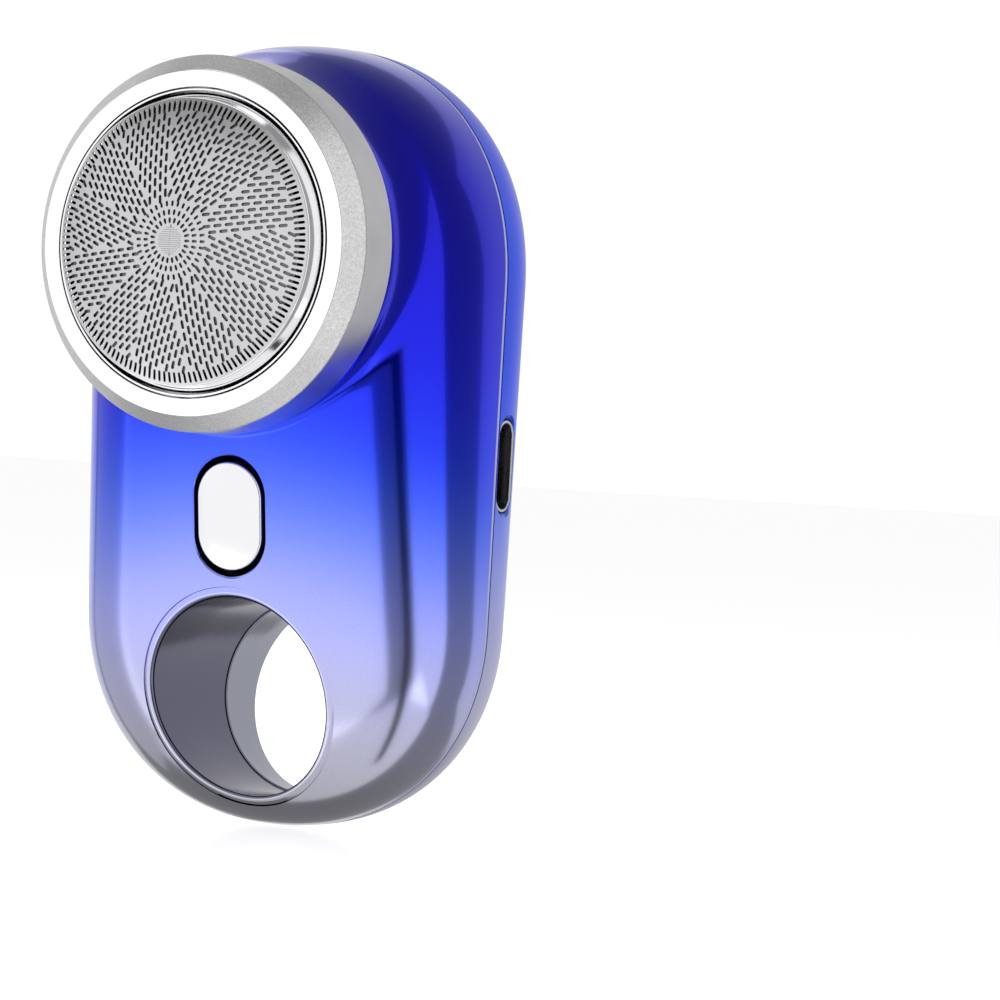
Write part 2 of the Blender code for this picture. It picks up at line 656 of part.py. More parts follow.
def build_head():
    """The removable head: ring, bezel, foil, foil retainer and the seal on the ring's spigot."""
    corner = RING_RADIUS - RING_CHAMFER_WIDTH
    side_front = RING_FACE - RING_CHAMFER_DEPTH
    groove_top = RING_BACK - SEAL_DEPTH
    groove_radius = SPIGOT_RADIUS - 2 * SEAL_WIRE - FIT
    points = [
        (corner, RING_FACE), (RING_RADIUS, side_front), (RING_RADIUS, RING_BACK),
        (SPIGOT_RADIUS, RING_BACK), (SPIGOT_RADIUS, groove_top), (groove_radius, groove_top),
        (groove_radius, SEAL_BACK), (SPIGOT_RADIUS, SEAL_BACK), (SPIGOT_RADIUS, SPIGOT_END),
        (SPIGOT_BORE, SPIGOT_END), (SPIGOT_BORE, SHELF_Z), (RING_BORE, SHELF_Z), (RING_BORE, RING_FACE),
    ]
    add_turned("head_ring", points, CHROME, HEAD_AXIS, steps=FINE_STEPS)
    bezel_radius = RING_BORE - FIT
    add_ring(
        "foil_bezel", bezel_radius, bezel_radius - BEZEL_WALL, RING_FACE - FIT / 2, SHELF_Z + FIT,
        CHROME, HEAD_AXIS, steps=FINE_STEPS,
    )
    dome = [FOIL_SHOULDER * (1 - step / 6) for step in range(7)]
    top = [(r, foil_front(r)) for r in dome]
    under = [(min(r, FOIL_SHOULDER - FOIL_THICKNESS), z - FOIL_THICKNESS) for r, z in top]
    inside = FOIL_RADIUS - FOIL_THICKNESS
    foil = [
        *reversed(top), (FOIL_RADIUS, RING_FACE - FIT), (FOIL_RADIUS, SHELF_Z + FIT),
        (inside, SHELF_Z + FIT), (inside, RING_FACE - 2 * FIT), *under,
    ]
    add_turned("shaving_foil", foil, STEEL, HEAD_AXIS, steps=FINE_STEPS, closed=False)
    add_ring(
        "foil_retainer", RETAINER_RADIUS, RETAINER_BORE, RING_FACE - GAP - FIT, SHELF_Z + FIT,
        BLACK_PLASTIC, HEAD_AXIS, steps=FINE_STEPS,
    )
    seal_radius = groove_radius + FIT / 2 + SEAL_WIRE
    seal_z = (groove_top + SEAL_BACK) / 2
    seal = [
        (seal_radius + SEAL_WIRE * math.cos(angle), seal_z + SEAL_WIRE * math.sin(angle))
        for angle in (math.pi / 3 * (1 - step) for step in range(6))
    ]
    add_turned("head_seal", seal, RUBBER, HEAD_AXIS, steps=FINE_STEPS)


def build_motor():
    """The motor on its deck in the neck: can, magnet, cap, bush, rotor and shaft, and the deck's screws."""
    can_back = MOTOR_BACK + MOTOR_CAP
    bush_radius = SHAFT_RADIUS + BUSH_WALL
    inner = MOTOR_RADIUS - MOTOR_WALL
    can_points = [
        (MOTOR_RADIUS, MOTOR_FRONT), (MOTOR_RADIUS, can_back), (inner, can_back),
        (inner, MOTOR_FRONT - MOTOR_WALL), (bush_radius + FIT, MOTOR_FRONT - MOTOR_WALL),
        (bush_radius + FIT, MOTOR_FRONT),
    ]
    can = add_turned("motor_can", can_points, STEEL, HEAD_AXIS)
    screw_holes = cylinder_mesh(
        "motor screw holes", SCREW_HOLE, MOTOR_FRONT - 2 * MOTOR_WALL, DECK_FRONT + GAP, MOTOR_SCREWS, 12
    )
    bore(can, "motor screw holes", screw_holes, HEAD_AXIS)
    cap_front = can_back - FIT
    pocket = SHAFT_RADIUS + FIT
    add_turned(
        "motor_end_cap",
        [(0.0, cap_front - SHAFT_POCKET), (pocket, cap_front - SHAFT_POCKET), (pocket, cap_front),
         (MOTOR_RADIUS, cap_front), (MOTOR_RADIUS, MOTOR_BACK), (0.0, MOTOR_BACK)],
        WHITE_PLASTIC, HEAD_AXIS, closed=False,
    )
    add_ring(
        "motor_bush", bush_radius, SHAFT_RADIUS + FIT, MOTOR_FRONT + ROOM, MOTOR_FRONT - 2 * MOTOR_WALL,
        BRASS, HEAD_AXIS,
    )
    magnet_radius = inner - FIT
    rotor_front = MOTOR_FRONT - 3 * MOTOR_WALL
    rotor_back = can_back + ROOM
    add_ring(
        "motor_magnet", magnet_radius, magnet_radius - MAGNET_WALL, rotor_front, rotor_back, MAGNET,
        HEAD_AXIS,
    )
    add_ring(
        "motor_rotor", magnet_radius - MAGNET_WALL - 2 * FIT, SHAFT_RADIUS + FIT, rotor_front, rotor_back,
        COPPER, DRIVE_AXIS,
    )
    shaft_back = cap_front - SHAFT_POCKET / 2
    shaft_front = COUPLING_FRONT - COUPLING_FLOOR - FIT
    shaft = cylinder_mesh("motor_shaft", SHAFT_RADIUS, shaft_back, shaft_front, steps=16)
    add_piece("motor_shaft", smooth(shaft), STEEL, DRIVE_AXIS)

    deck = add_ring(
        "motor_deck", NECK_BORE - GAP, bush_radius + 2 * FIT, DECK_FRONT, DECK_BACK, BLACK_PLASTIC,
        HEAD_AXIS,
    )
    bore(deck, "deck holes for motor screws", screw_holes, HEAD_AXIS)
    deck_holes = cylinder_mesh(
        "deck holes", SCREW_HOLE, DECK_BACK - GAP, DECK_FRONT + GAP, DECK_SCREWS, 12
    )
    bore(deck, "deck holes for deck screws", deck_holes, HEAD_AXIS)
    for index, (x, y) in enumerate(DECK_SCREWS, 1):
        length = DECK_THICKNESS + GAP + NECK_FLANGE_THICKNESS - FIT
        add_screw(f"deck_screw_{index}", x, y, DECK_FRONT, length, 1, HEAD_AXIS)
    for index, (x, y) in enumerate(MOTOR_SCREWS, 1):
        length = DECK_THICKNESS + GAP + 2 * MOTOR_WALL - FIT
        add_screw(f"motor_screw_{index}", x, y, DECK_FRONT, length, 1, HEAD_AXIS)
    add_ring(
        "shaft_seal", bush_radius, SHAFT_RADIUS + FIT, DECK_FRONT + FIT, MOTOR_FRONT + ROOM + FIT,
        RUBBER, HEAD_AXIS,
    )


def build_cutter():
    """The drive coupling on the shaft, and the sprung cutter that rides on its peg."""
    peg_front = COUPLING_FRONT + PEG_HEIGHT
    floor = COUPLING_FRONT - COUPLING_FLOOR
    points = [
        (0.0, peg_front), (PEG_RADIUS, peg_front), (PEG_RADIUS, COUPLING_FRONT),
        (COUPLING_RADIUS, COUPLING_FRONT), (COUPLING_RADIUS, COUPLING_BACK),
        (SHAFT_RADIUS + FIT, COUPLING_BACK), (SHAFT_RADIUS + FIT, floor), (0.0, floor),
    ]
    add_turned("drive_coupling", points, WHITE_PLASTIC, DRIVE_AXIS, closed=False)

    hub_bore = PEG_RADIUS + FIT
    hub_front = ARM_TOP + FIT
    carrier = add_turned(
        "cutter_carrier",
        [(CUTTER_RADIUS, CARRIER_FRONT), (CUTTER_RADIUS, CARRIER_BACK), (hub_bore, CARRIER_BACK),
         (hub_bore, hub_front), (HUB_RADIUS, hub_front), (HUB_RADIUS, CARRIER_FRONT)],
        BLACK_PLASTIC, DRIVE_AXIS,
    )
    inner = HUB_RADIUS + FIT + GAP
    middle = (inner + BLADE_OUTER) / 2
    length = BLADE_OUTER - inner + 2 * FIT
    turns = [BLADE_START + 2 * math.pi * index / BLADE_COUNT for index in range(BLADE_COUNT)]
    for index, turn in enumerate(turns, 1):
        arm_back = CARRIER_BACK + GAP
        size = (length + ROOM, ARM_WIDTH, ARM_TOP - arm_back)
        arm_mesh = box_mesh(f"arm {index}", size, (middle - ROOM / 2, 0.0, (ARM_TOP + arm_back) / 2))
        arm = add_cutter(f"arm {index}", arm_mesh, DRIVE_AXIS)
        arm.rotation_euler = (0.0, 0.0, turn)
        join_or_cut(carrier, arm, "UNION")
    edge_radii = [BLADE_OUTER + (inner - BLADE_OUTER) * step / 6 for step in range(7)]
    edge = [(inner, BLADE_BACK), (BLADE_OUTER, BLADE_BACK)]
    edge += [(r, foil_front(r) - FOIL_THICKNESS - FIT) for r in edge_radii]
    for index, turn in enumerate(turns, 1):
        name = f"cutter_blade_{index}"
        add_piece(name, plate_mesh(name, edge, BLADE_THICKNESS), STEEL, DRIVE_AXIS, turn=turn)
        size = (length, BLADE_THICKNESS + 2 * FIT, BLADE_HEIGHT)
        place = (middle, 0.0, BLADE_BACK + BLADE_HEIGHT / 2 - FIT)
        slot = add_cutter(f"blade slot {index}", box_mesh(f"blade slot {index}", size, place), DRIVE_AXIS)
        slot.rotation_euler = (0.0, 0.0, turn)
        join_or_cut(carrier, slot, "DIFFERENCE")

    spring_back = COUPLING_FRONT + SPRING_WIRE + FIT
    spring_front = CARRIER_BACK - SPRING_WIRE - FIT
    coil_radius = PEG_RADIUS + SPRING_WIRE + 2 * FIT
    steps = int(SPRING_TURNS * 12)
    coil = [
        (
            coil_radius * math.cos(2 * math.pi * SPRING_TURNS * step / steps),
            coil_radius * math.sin(2 * math.pi * SPRING_TURNS * step / steps),
            spring_back + (spring_front - spring_back) * step / steps,
        )
        for step in range(steps + 1)
    ]
    add_wire("cutter_spring", coil, SPRING_WIRE, STEEL, DRIVE_AXIS)


def build_button():
    """The power button, its seal, and the switch under it on the board."""
    front = front_at(0.0, BUTTON_Y)
    switch_y = BUTTON_Y + front * math.tan(BUTTON_TILT)
    switch_top = BOARD_FRONT + FIT + SWITCH_HEIGHT
    plunger_top = switch_top + PLUNGER_HEIGHT
    stem_end = -(front - plunger_top - FIT) / math.cos(BUTTON_TILT) + FIT
    flange_top = -WALL - BUTTON_FLANGE_DROP
    flange_bottom = flange_top - BUTTON_FLANGE_THICKNESS
    flange = (BUTTON_HALF_WIDTH + BUTTON_FLANGE, BUTTON_HALF_HEIGHT + BUTTON_FLANGE)
    cap = (BUTTON_HALF_WIDTH, BUTTON_HALF_HEIGHT)
    stem = (BUTTON_STEM_RADIUS, BUTTON_STEM_RADIUS)
    sections = [
        (stem_end, *stem), (flange_bottom, *stem), (flange_bottom, *flange),
        (flange_top, *flange), (flange_top, *cap), (-0.35 * MM, *cap),
        (0.0, cap[0] - 0.25 * MM, cap[1] - 0.25 * MM), (0.25 * MM, cap[0] - 1.0 * MM, cap[1] - 1.0 * MM),
        (0.35 * MM, cap[0] - 2.0 * MM, cap[1] - 2.0 * MM),
    ]
    add_piece("button_cap", smooth(stadium_loft("button_cap", sections)), PEARL, BUTTON_AXIS)

    outer = (flange[0] + BUTTON_SEAL_WIDTH, flange[1] + BUTTON_SEAL_WIDTH)
    gasket_span = (flange_top - BUTTON_SEAL_HEIGHT, flange_top)
    rim_mesh = smooth(stadium_loft("button_seal", [(z, *outer) for z in gasket_span]))
    rim = add_piece("button_seal", rim_mesh, RUBBER, BUTTON_AXIS)
    inside = (flange[0] + FIT, flange[1] + FIT)
    hole = stadium_loft("seal opening", [(gasket_span[0] - GAP, *inside), (gasket_span[1] + GAP, *inside)])
    bore(rim, "seal opening", hole, BUTTON_AXIS)

    half = SWITCH_SIDE / 2
    add_box(
        "power_switch", (-half, switch_y - half, BOARD_FRONT + FIT), (half, switch_y + half, switch_top),
        BLACK_PLASTIC, FACE, bevel=0.3 * MM,
    )
    plunger_back = switch_top + BUTTON_TRAVEL
    plunger = cylinder_mesh("switch_plunger", PLUNGER_RADIUS, plunger_back, plunger_top, steps=16)
    add_piece("switch_plunger", smooth(plunger), WHITE_PLASTIC, FACE, (0.0, switch_y, 0.0))


def build_display():
    """The rear display: rim, flat lens, light panel and its flex to the board."""
    inner = DISPLAY_RADIUS - DISPLAY_RIM
    lip = inner - RIM_LIP
    add_turned(
        "display_rim",
        [(DISPLAY_RADIUS, LENS_SEAT_Z + ROOM), (DISPLAY_RADIUS, BEZEL_BACK_Z), (inner, BEZEL_BACK_Z),
         (inner, LENS_SEAT_Z), (lip, LENS_SEAT_Z), (lip, LENS_SEAT_Z + ROOM)],
        CHROME, DISPLAY_AXIS, steps=FINE_STEPS,
    )
    radius = inner - FIT
    lens_front = LENS_BACK_Z + LENS_THICKNESS
    add_turned(
        "display_lens",
        [(0.0, lens_front), (radius, lens_front), (radius, LENS_BACK_Z + LENS_CHAMFER),
         (radius - LENS_CHAMFER, LENS_BACK_Z), (0.0, LENS_BACK_Z)],
        BLACK_GLASS, DISPLAY_AXIS, steps=FINE_STEPS, closed=False,
    )
    panel_front = PANEL_BACK_Z + PANEL_THICKNESS
    panel = cylinder_mesh("display_panel", DISPLAY_RADIUS - 2 * FIT, PANEL_BACK_Z, panel_front)
    add_piece("display_panel", smooth(panel), BLACK_PLASTIC, DISPLAY_AXIS)

    flex_y = BAY_TOP - 2 * GAP
    flex_z = PANEL_BACK_Z + PANEL_THICKNESS / 2
    corner = FLEX_CORNER
    start_y = DISPLAY_Y - DISPLAY_RADIUS
    path = [(start_y, flex_z), (flex_y + corner, flex_z)]
    for step in range(1, 5):
        angle = math.pi / 2 * step / 4
        path.append((flex_y + corner * (1 - math.sin(angle)), flex_z + corner * (1 - math.cos(angle))))
    path.append((flex_y, BOARD_BACK - FIT))
    mesh = bpy.data.meshes.new("display_flex")
    points = [(x, y, z) for y, z in path for x in (-FLEX_HALF_WIDTH, FLEX_HALF_WIDTH)]
    faces = [(2 * i, 2 * i + 1, 2 * i + 3, 2 * i + 2) for i in range(len(path) - 1)]
    mesh.from_pydata(points, [], faces)
    flex = add_piece("display_flex", mesh, AMBER_FLEX, FACE)
    wall = flex.modifiers.new("thickness", "SOLIDIFY")
    wall.thickness = FLEX_THICKNESS
    wall.offset = 0.0


def build_board():
    """The board across the middle of the body, its screws, the charging socket and the battery."""
    low = (-BOARD_HALF_WIDTH, BAY_BOTTOM, BOARD_BACK)
    high = (BOARD_HALF_WIDTH, BAY_TOP, BOARD_FRONT)
    board = add_box("main_board", low, high, BOARD_GREEN, FACE)
    holes = cylinder_mesh("board holes", SCREW_HOLE, BOARD_BACK - GAP, BOARD_FRONT + GAP, BOARD_SCREWS, 12)
    bore(board, "board holes", holes, FACE)
    for index, (x, y) in enumerate(BOARD_SCREWS, 1):
        add_screw(f"board_screw_{index}", x, y, BOARD_BACK, BOARD_SCREW_LENGTH - FIT, -1, FACE)

    half = (SOCKET_HEIGHT / 2, SOCKET_WIDTH / 2)
    mouth = BODY_HALF_WIDTH - SOCKET_INSET
    back = mouth - SOCKET_LENGTH
    turn = math.radians(90.0)
    shell_mesh = stadium_loft("usb_socket", [(back, *half), (mouth, *half)])
    socket = add_piece("usb_socket", smooth(shell_mesh), STEEL, FACE, (0.0, SOCKET_Y, SOCKET_Z))
    socket.rotation_euler = (0.0, turn, 0.0)
    inside = (half[0] - SOCKET_WALL, half[1] - SOCKET_WALL)
    cavity_mesh = stadium_loft("socket cavity", [(back + 2 * SOCKET_WALL, *inside), (mouth + GAP, *inside)])
    cavity = add_cutter("socket cavity", cavity_mesh, FACE, (0.0, SOCKET_Y, SOCKET_Z))
    cavity.rotation_euler = (0.0, turn, 0.0)
    join_or_cut(socket, cavity, "DIFFERENCE")
    add_box(
        "usb_tongue",
        (back + 2 * SOCKET_WALL + GAP, SOCKET_Y - TONGUE_HALF_WIDTH, SOCKET_Z - TONGUE_HALF_THICKNESS),
        (mouth - TONGUE_SINK, SOCKET_Y + TONGUE_HALF_WIDTH, SOCKET_Z + TONGUE_HALF_THICKNESS),
        BLACK_PLASTIC, FACE,
    )

    cell_left = -BODY_HALF_WIDTH * BATTERY_LEFT_SHARE
    cell_right = back - ROOM
    cell_top = BAY_TOP - BATTERY_BELOW_BAY
    cell_front = BOARD_BACK - FIT - SCREW_HEAD - FIT - FIT
    add_box(
        "battery_cell", (cell_left, BAY_BOTTOM + GAP, cell_front - BATTERY_THICKNESS),
        (cell_right, cell_top, cell_front), BATTERY_FOIL, FACE, bevel=BATTERY_CORNER,
    )
    cell_middle = cell_front - BATTERY_THICKNESS / 2
    lead_out = MOTOR_RADIUS + LEAD_RADIUS + FIT
    leads = (("battery_lead_red", RED_WIRE), ("battery_lead_black", BLACK_WIRE))
    for index, (name, material) in enumerate(leads):
        x = lead_out * LEAD_SPREAD - BATTERY_LEAD_INSET - BATTERY_LEAD_STEP * index
        route = [
            (x, cell_top + LEAD_RADIUS + FIT, cell_middle),
            (x, cell_top + 1.1 * MM, cell_middle),
            (x, cell_top + 1.5 * MM, cell_front - LEAD_RADIUS),
            (x, cell_top + 1.5 * MM, BOARD_BACK - FIT),
        ]
        add_wire(name, smooth_path(route, 3), LEAD_RADIUS, material, FACE)
    cap_z = MOTOR_BACK + 0.7 * MM
    for side, name, material in ((-1, "motor_lead_red", RED_WIRE), (1, "motor_lead_black", BLACK_WIRE)):
        out = side * lead_out
        route = [
            (out, HEAD_Y, cap_z), (out * 1.04, HEAD_Y - MOTOR_RADIUS * 0.5, cap_z),
            (out * LEAD_SPREAD, BAY_TOP + 0.6 * MM, cap_z * 0.6 + BOARD_BACK * 0.4),
            (out * LEAD_SPREAD, BAY_TOP - 1.0 * MM, BOARD_BACK - FIT),
        ]
        add_wire(name, smooth_path(route, 3), LEAD_RADIUS, material, FACE)


build_shells()
build_seam_gasket()
build_finger_sleeves()
build_head()
build_motor()
build_cutter()
build_button()
build_display()
build_board()
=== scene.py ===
"""A pocket electric shaver in its finishes: lacquered shells, a ringed head, a finger hole and a display.

Lengths are metres. Shapes are worked out in the face frame, with X to the right, Y up and Z forward out of
the face from the middle of the seam, and then placed in the row frame, in which the head faces -Y and Z is up.
"""

import json
import logging
import math
from dataclasses import dataclass
from enum import Enum

import bmesh
import bpy
import numpy as np
from mathutils import Matrix, Vector
from mathutils.geometry import delaunay_2d_cdt

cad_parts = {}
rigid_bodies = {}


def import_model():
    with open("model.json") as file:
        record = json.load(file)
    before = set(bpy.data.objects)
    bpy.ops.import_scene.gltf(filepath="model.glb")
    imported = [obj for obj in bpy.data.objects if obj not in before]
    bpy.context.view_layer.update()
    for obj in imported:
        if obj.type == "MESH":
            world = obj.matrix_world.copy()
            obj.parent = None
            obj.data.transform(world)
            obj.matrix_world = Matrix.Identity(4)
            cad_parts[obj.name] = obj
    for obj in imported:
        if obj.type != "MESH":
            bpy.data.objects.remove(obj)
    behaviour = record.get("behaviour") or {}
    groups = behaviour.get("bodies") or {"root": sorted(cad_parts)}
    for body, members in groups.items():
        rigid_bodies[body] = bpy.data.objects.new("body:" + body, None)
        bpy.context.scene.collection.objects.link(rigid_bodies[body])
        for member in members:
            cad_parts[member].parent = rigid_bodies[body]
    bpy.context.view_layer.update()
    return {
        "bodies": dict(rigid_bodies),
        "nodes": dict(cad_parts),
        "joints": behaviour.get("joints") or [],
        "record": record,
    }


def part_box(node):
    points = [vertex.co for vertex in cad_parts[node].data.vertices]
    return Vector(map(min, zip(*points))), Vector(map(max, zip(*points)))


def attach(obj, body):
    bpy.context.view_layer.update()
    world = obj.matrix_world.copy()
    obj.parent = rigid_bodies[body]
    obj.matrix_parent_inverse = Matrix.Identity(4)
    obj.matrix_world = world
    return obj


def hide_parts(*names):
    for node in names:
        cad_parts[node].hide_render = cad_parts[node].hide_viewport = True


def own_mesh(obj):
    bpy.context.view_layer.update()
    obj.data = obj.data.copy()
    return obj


LOG = logging.getLogger("shaver")
MM = 0.001
Colour = tuple[float, float, float]
Corner = tuple[float, float, float]
Place = tuple[float, float]
Socket = bpy.types.NodeSocket
Mesh = bpy.types.Mesh


class Body(Enum):
    """The moving bodies that pieces ride on."""

    SHELL = "body"
    HEAD = "head"
    DRIVE = "drive"
    CUTTER = "cutter"
    BUTTON = "button"


class Grain(Enum):
    """How a finish's fine relief runs."""

    EVEN = "even"
    UPRIGHT = "upright"
    ROUND = "round"


@dataclass(frozen=True)
class FaceFrame:
    """The face frame: X right, Y up and Z forward from the middle of the seam.

    Attributes:
        seam_y: the row frame's Y of the seam.
        middle_z: the row frame's Z of the body's middle.
    """

    seam_y: float
    middle_z: float

    def place(self, points: np.ndarray) -> np.ndarray:
        """Turn face points (x, y, z) into row points (x, seam_y - z, middle_z + y).

        Args:
            points: an array whose last axis is x, y, z of the face frame.

        Returns:
            An array of the same shape in the row frame.
        """
        across, up, out = np.moveaxis(points, -1, 0)
        return np.stack([across, self.seam_y - out, self.middle_z + up], axis=-1)


def linear(red: int, green: int, blue: int) -> Colour:
    """Turn an 8-bit display colour into the linear one that a shader takes.

    Args:
        red: 0 to 255.
        green: 0 to 255.
        blue: 0 to 255.

    Returns:
        The three linear shares: v / 12.92 below 0.04045, else ((v + 0.055) / 1.055) to the power 2.4.
    """
    shares = (value / 255.0 for value in (red, green, blue))
    return tuple(v / 12.92 if v <= 0.04045 else ((v + 0.055) / 1.055) ** 2.4 for v in shares)


# Shapes


def round_angles(steps: int) -> np.ndarray:
    """Angles of steps columns once round an axis, in radians."""
    return np.linspace(0.0, 2 * np.pi, steps, endpoint=False)


def stack(*parts: np.ndarray) -> np.ndarray:
    """Join coordinate arrays along a new last axis."""
    return np.stack(parts, axis=-1)


def bezier(start: np.ndarray, corner: np.ndarray, end: np.ndarray, t: np.ndarray) -> np.ndarray:
    """Quadratic Bezier curve: (1 - t)^2 start + 2 t (1 - t) corner + t^2 end."""
    return (1 - t) ** 2 * start + 2 * t * (1 - t) * corner + t**2 * end


def grid_mesh(name: str, points: np.ndarray, ring_rows: bool = False) -> Mesh:
    """Make quads between the neighbours of a grid of points, weld what meets, and turn every face outwards.

    Args:
        name: the mesh's name.
        points: rows x columns x 3, in the row frame. The last column joins the first.
        ring_rows: whether the last row joins the first.

    Returns:
        The welded mesh, shaded smooth.
    """
    rows, columns = points.shape[:2]
    index = np.arange(rows * columns).reshape(rows, columns)
    if ring_rows:
        index = np.vstack([index, index[:1]])
    index = np.hstack([index, index[:, :1]])
    quads = np.stack([index[:-1, :-1], index[:-1, 1:], index[1:, 1:], index[1:, :-1]], axis=-1)
    mesh = bpy.data.meshes.new(name)
    mesh.from_pydata(points.reshape(-1, 3), [], quads.reshape(-1, 4))
    return welded(mesh)


def welded(mesh: Mesh, reach: float = 0.0002 * MM) -> Mesh:
    """Merge points closer than reach, turn the faces outwards and shade them smooth.

    Args:
        mesh: the mesh, changed in place.
        reach: the merging distance.

    Returns:
        The same mesh.
    """
    work = bmesh.new()
    work.from_mesh(mesh)
    bmesh.ops.remove_doubles(work, verts=work.verts, dist=reach)
    bmesh.ops.recalc_face_normals(work, faces=work.faces)
    work.to_mesh(mesh)
    work.free()
    mesh.shade_smooth()
    return mesh


def rounded(corners: list[Corner], steps: int = 5) -> np.ndarray:
    """Round each corner of a closed outline and hold the flats beside it with a point on either side.

    A corner P with reach f turns into the quadratic Bezier curve from P + f u, by P, to P + f v, where u and v
    are the unit directions of its two sides. A further point stands 0.4 f outside each end of the curve.

    Args:
        corners: (first, second, reach) of each corner, in order.
        steps: points on each curve.

    Returns:
        The rounded outline as an N x 2 array.
    """
    table = np.array(corners)
    at, reach = table[:, :2], np.maximum(table[:, 2:], 1e-6)
    back, ahead = np.roll(at, 1, axis=0) - at, np.roll(at, -1, axis=0) - at
    back /= np.linalg.norm(back, axis=1, keepdims=True)
    ahead /= np.linalg.norm(ahead, axis=1, keepdims=True)
    start, end = at + back * reach, at + ahead * reach
    t = np.linspace(0.0, 1.0, steps)[None, :, None]
    curve = bezier(start[:, None], at[:, None], end[:, None], t)
    hold = 0.4 * reach
    before, after = (start + back * hold)[:, None], (end + ahead * hold)[:, None]
    return np.concatenate([before, curve, after], axis=1).reshape(-1, 2)


def turned(outline: np.ndarray, centre: tuple[float, float], steps: int) -> np.ndarray:
    """Turn an outline of (radius, height) about the Z axis through a centre of the face frame.

    Args:
        outline: N x 2.
        centre: the axis, as (x, y).
        steps: columns round the axis.

    Returns:
        N x steps x 3 points: (x + r cos a, y + r sin a, height).
    """
    angle, radius = round_angles(steps), outline[:, :1]
    height = np.broadcast_to(outline[:, 1:], (len(outline), steps))
    return stack(centre[0] + radius * np.cos(angle), centre[1] + radius * np.sin(angle), height)


def stadium_rings(half_width: float, half_height: float, outline: np.ndarray, steps: int = 160) -> np.ndarray:
    """Carry an outline of (inset, height) round an upright stadium: two half circles and two straight sides.

    Args:
        half_width: of the stadium at inset 0.
        half_height: of the stadium at inset 0.
        outline: N x 2 of inset and height.
        steps: columns round the stadium, a multiple of 4.

    Returns:
        N x steps x 3 points about (0, 0): r (cos a, sin a) with r = half_width - inset, moved up or down by
        half_height - half_width.
    """
    angle = (np.arange(steps) + 0.5) * 2 * np.pi / steps
    radius = half_width - outline[:, :1]
    lift = np.sign(np.sin(angle)) * (half_height - half_width)
    height = np.broadcast_to(outline[:, 1:], (len(outline), steps))
    return stack(radius * np.cos(angle), radius * np.sin(angle) + lift, height)


def face_centres(mesh: Mesh, frame: FaceFrame) -> np.ndarray:
    """Middles of a mesh's faces as three rows, x, y and z of the face frame."""
    centres = np.empty(len(mesh.polygons) * 3)
    mesh.polygons.foreach_get("center", centres)
    across, row_y, row_z = centres.reshape(-1, 3).T
    return np.stack([across, row_z - frame.middle_z, frame.seam_y - row_y])


def number_faces(mesh: Mesh, numbers: np.ndarray) -> None:
    """Give each face of a mesh the number of its finish."""
    mesh.polygons.foreach_set("material_index", numbers.astype(np.int32))


@dataclass(frozen=True)
class BodyForm:
    """The outline and the crowned faces of the body.

    Attributes:
        half_width: at the widest.
        half_height: from the middle to an end.
        top_end: length over which the outline closes at the top.
        bottom_end: the same at the bottom.
        end_power: power of the ends' superellipse.
        crown_power: power of the crown's fall to the seam.
        front: depth of the front at the middle.
        front_slope: growth of that depth for each unit up.
        back: depth of the back at the middle.
        back_slope: growth of that depth for each unit up.
        seam_half: from the seam's middle to a shell's edge.
        wall: thickness of a shell.
    """

    half_width: float = 21.3 * MM
    half_height: float = 38.0 * MM
    top_end: float = 22.8 * MM
    bottom_end: float = 20.5 * MM
    end_power: float = 2.15
    crown_power: float = 2.69
    front: float = 15.06 * MM
    front_slope: float = 0.1374
    back: float = 11.87 * MM
    back_slope: float = 0.0356
    seam_half: float = 0.3 * MM
    wall: float = 1.5 * MM

    def share(self, x: np.ndarray, y: np.ndarray) -> np.ndarray:
        """Share of the way from the spine to the outline, 1 on it: a superellipse in x and the way past the ends.

        Args:
            x: across.
            y: up.

        Returns:
            (|x / half_width|^p + (past / end)^p)^(1 / p).
        """
        end = np.where(y > 0, self.top_end, self.bottom_end)
        past = np.maximum(0.0, np.abs(y) - (self.half_height - end))
        p = self.end_power
        return ((np.abs(x) / self.half_width) ** p + (past / end) ** p) ** (1 / p)

    def height(self, x: np.ndarray, y: np.ndarray, forward: int) -> np.ndarray:
        """Height of a face over the seam: its depth times (1 - share^c)^(1 / c).

        Args:
            x: across.
            y: up.
            forward: 1 for the front face, -1 for the back.

        Returns:
            The face frame's z, below zero for the back.
        """
        depth, slope = (self.front, self.front_slope) if forward > 0 else (self.back, self.back_slope)
        c = self.crown_power
        fall = (1 - np.minimum(1.0, self.share(x, y)) ** c) ** (1 / c)
        return forward * (depth + slope * y) * fall

    def reach(self, centre: tuple[float, float], angle: np.ndarray) -> np.ndarray:
        """Distance from a centre to the outline along each angle, by halving the gap 50 times.

        Args:
            centre: a point inside the outline.
            angle: directions, in radians.

        Returns:
            The distances.
        """
        low, high = np.zeros_like(angle), np.full_like(angle, 3 * self.half_height)
        for _ in range(50):
            middle = (low + high) / 2
            inside = self.share(centre[0] + middle * np.cos(angle), centre[1] + middle * np.sin(angle)) < 1
            low, high = np.where(inside, middle, low), np.where(inside, high, middle)
        return low


# Finishes


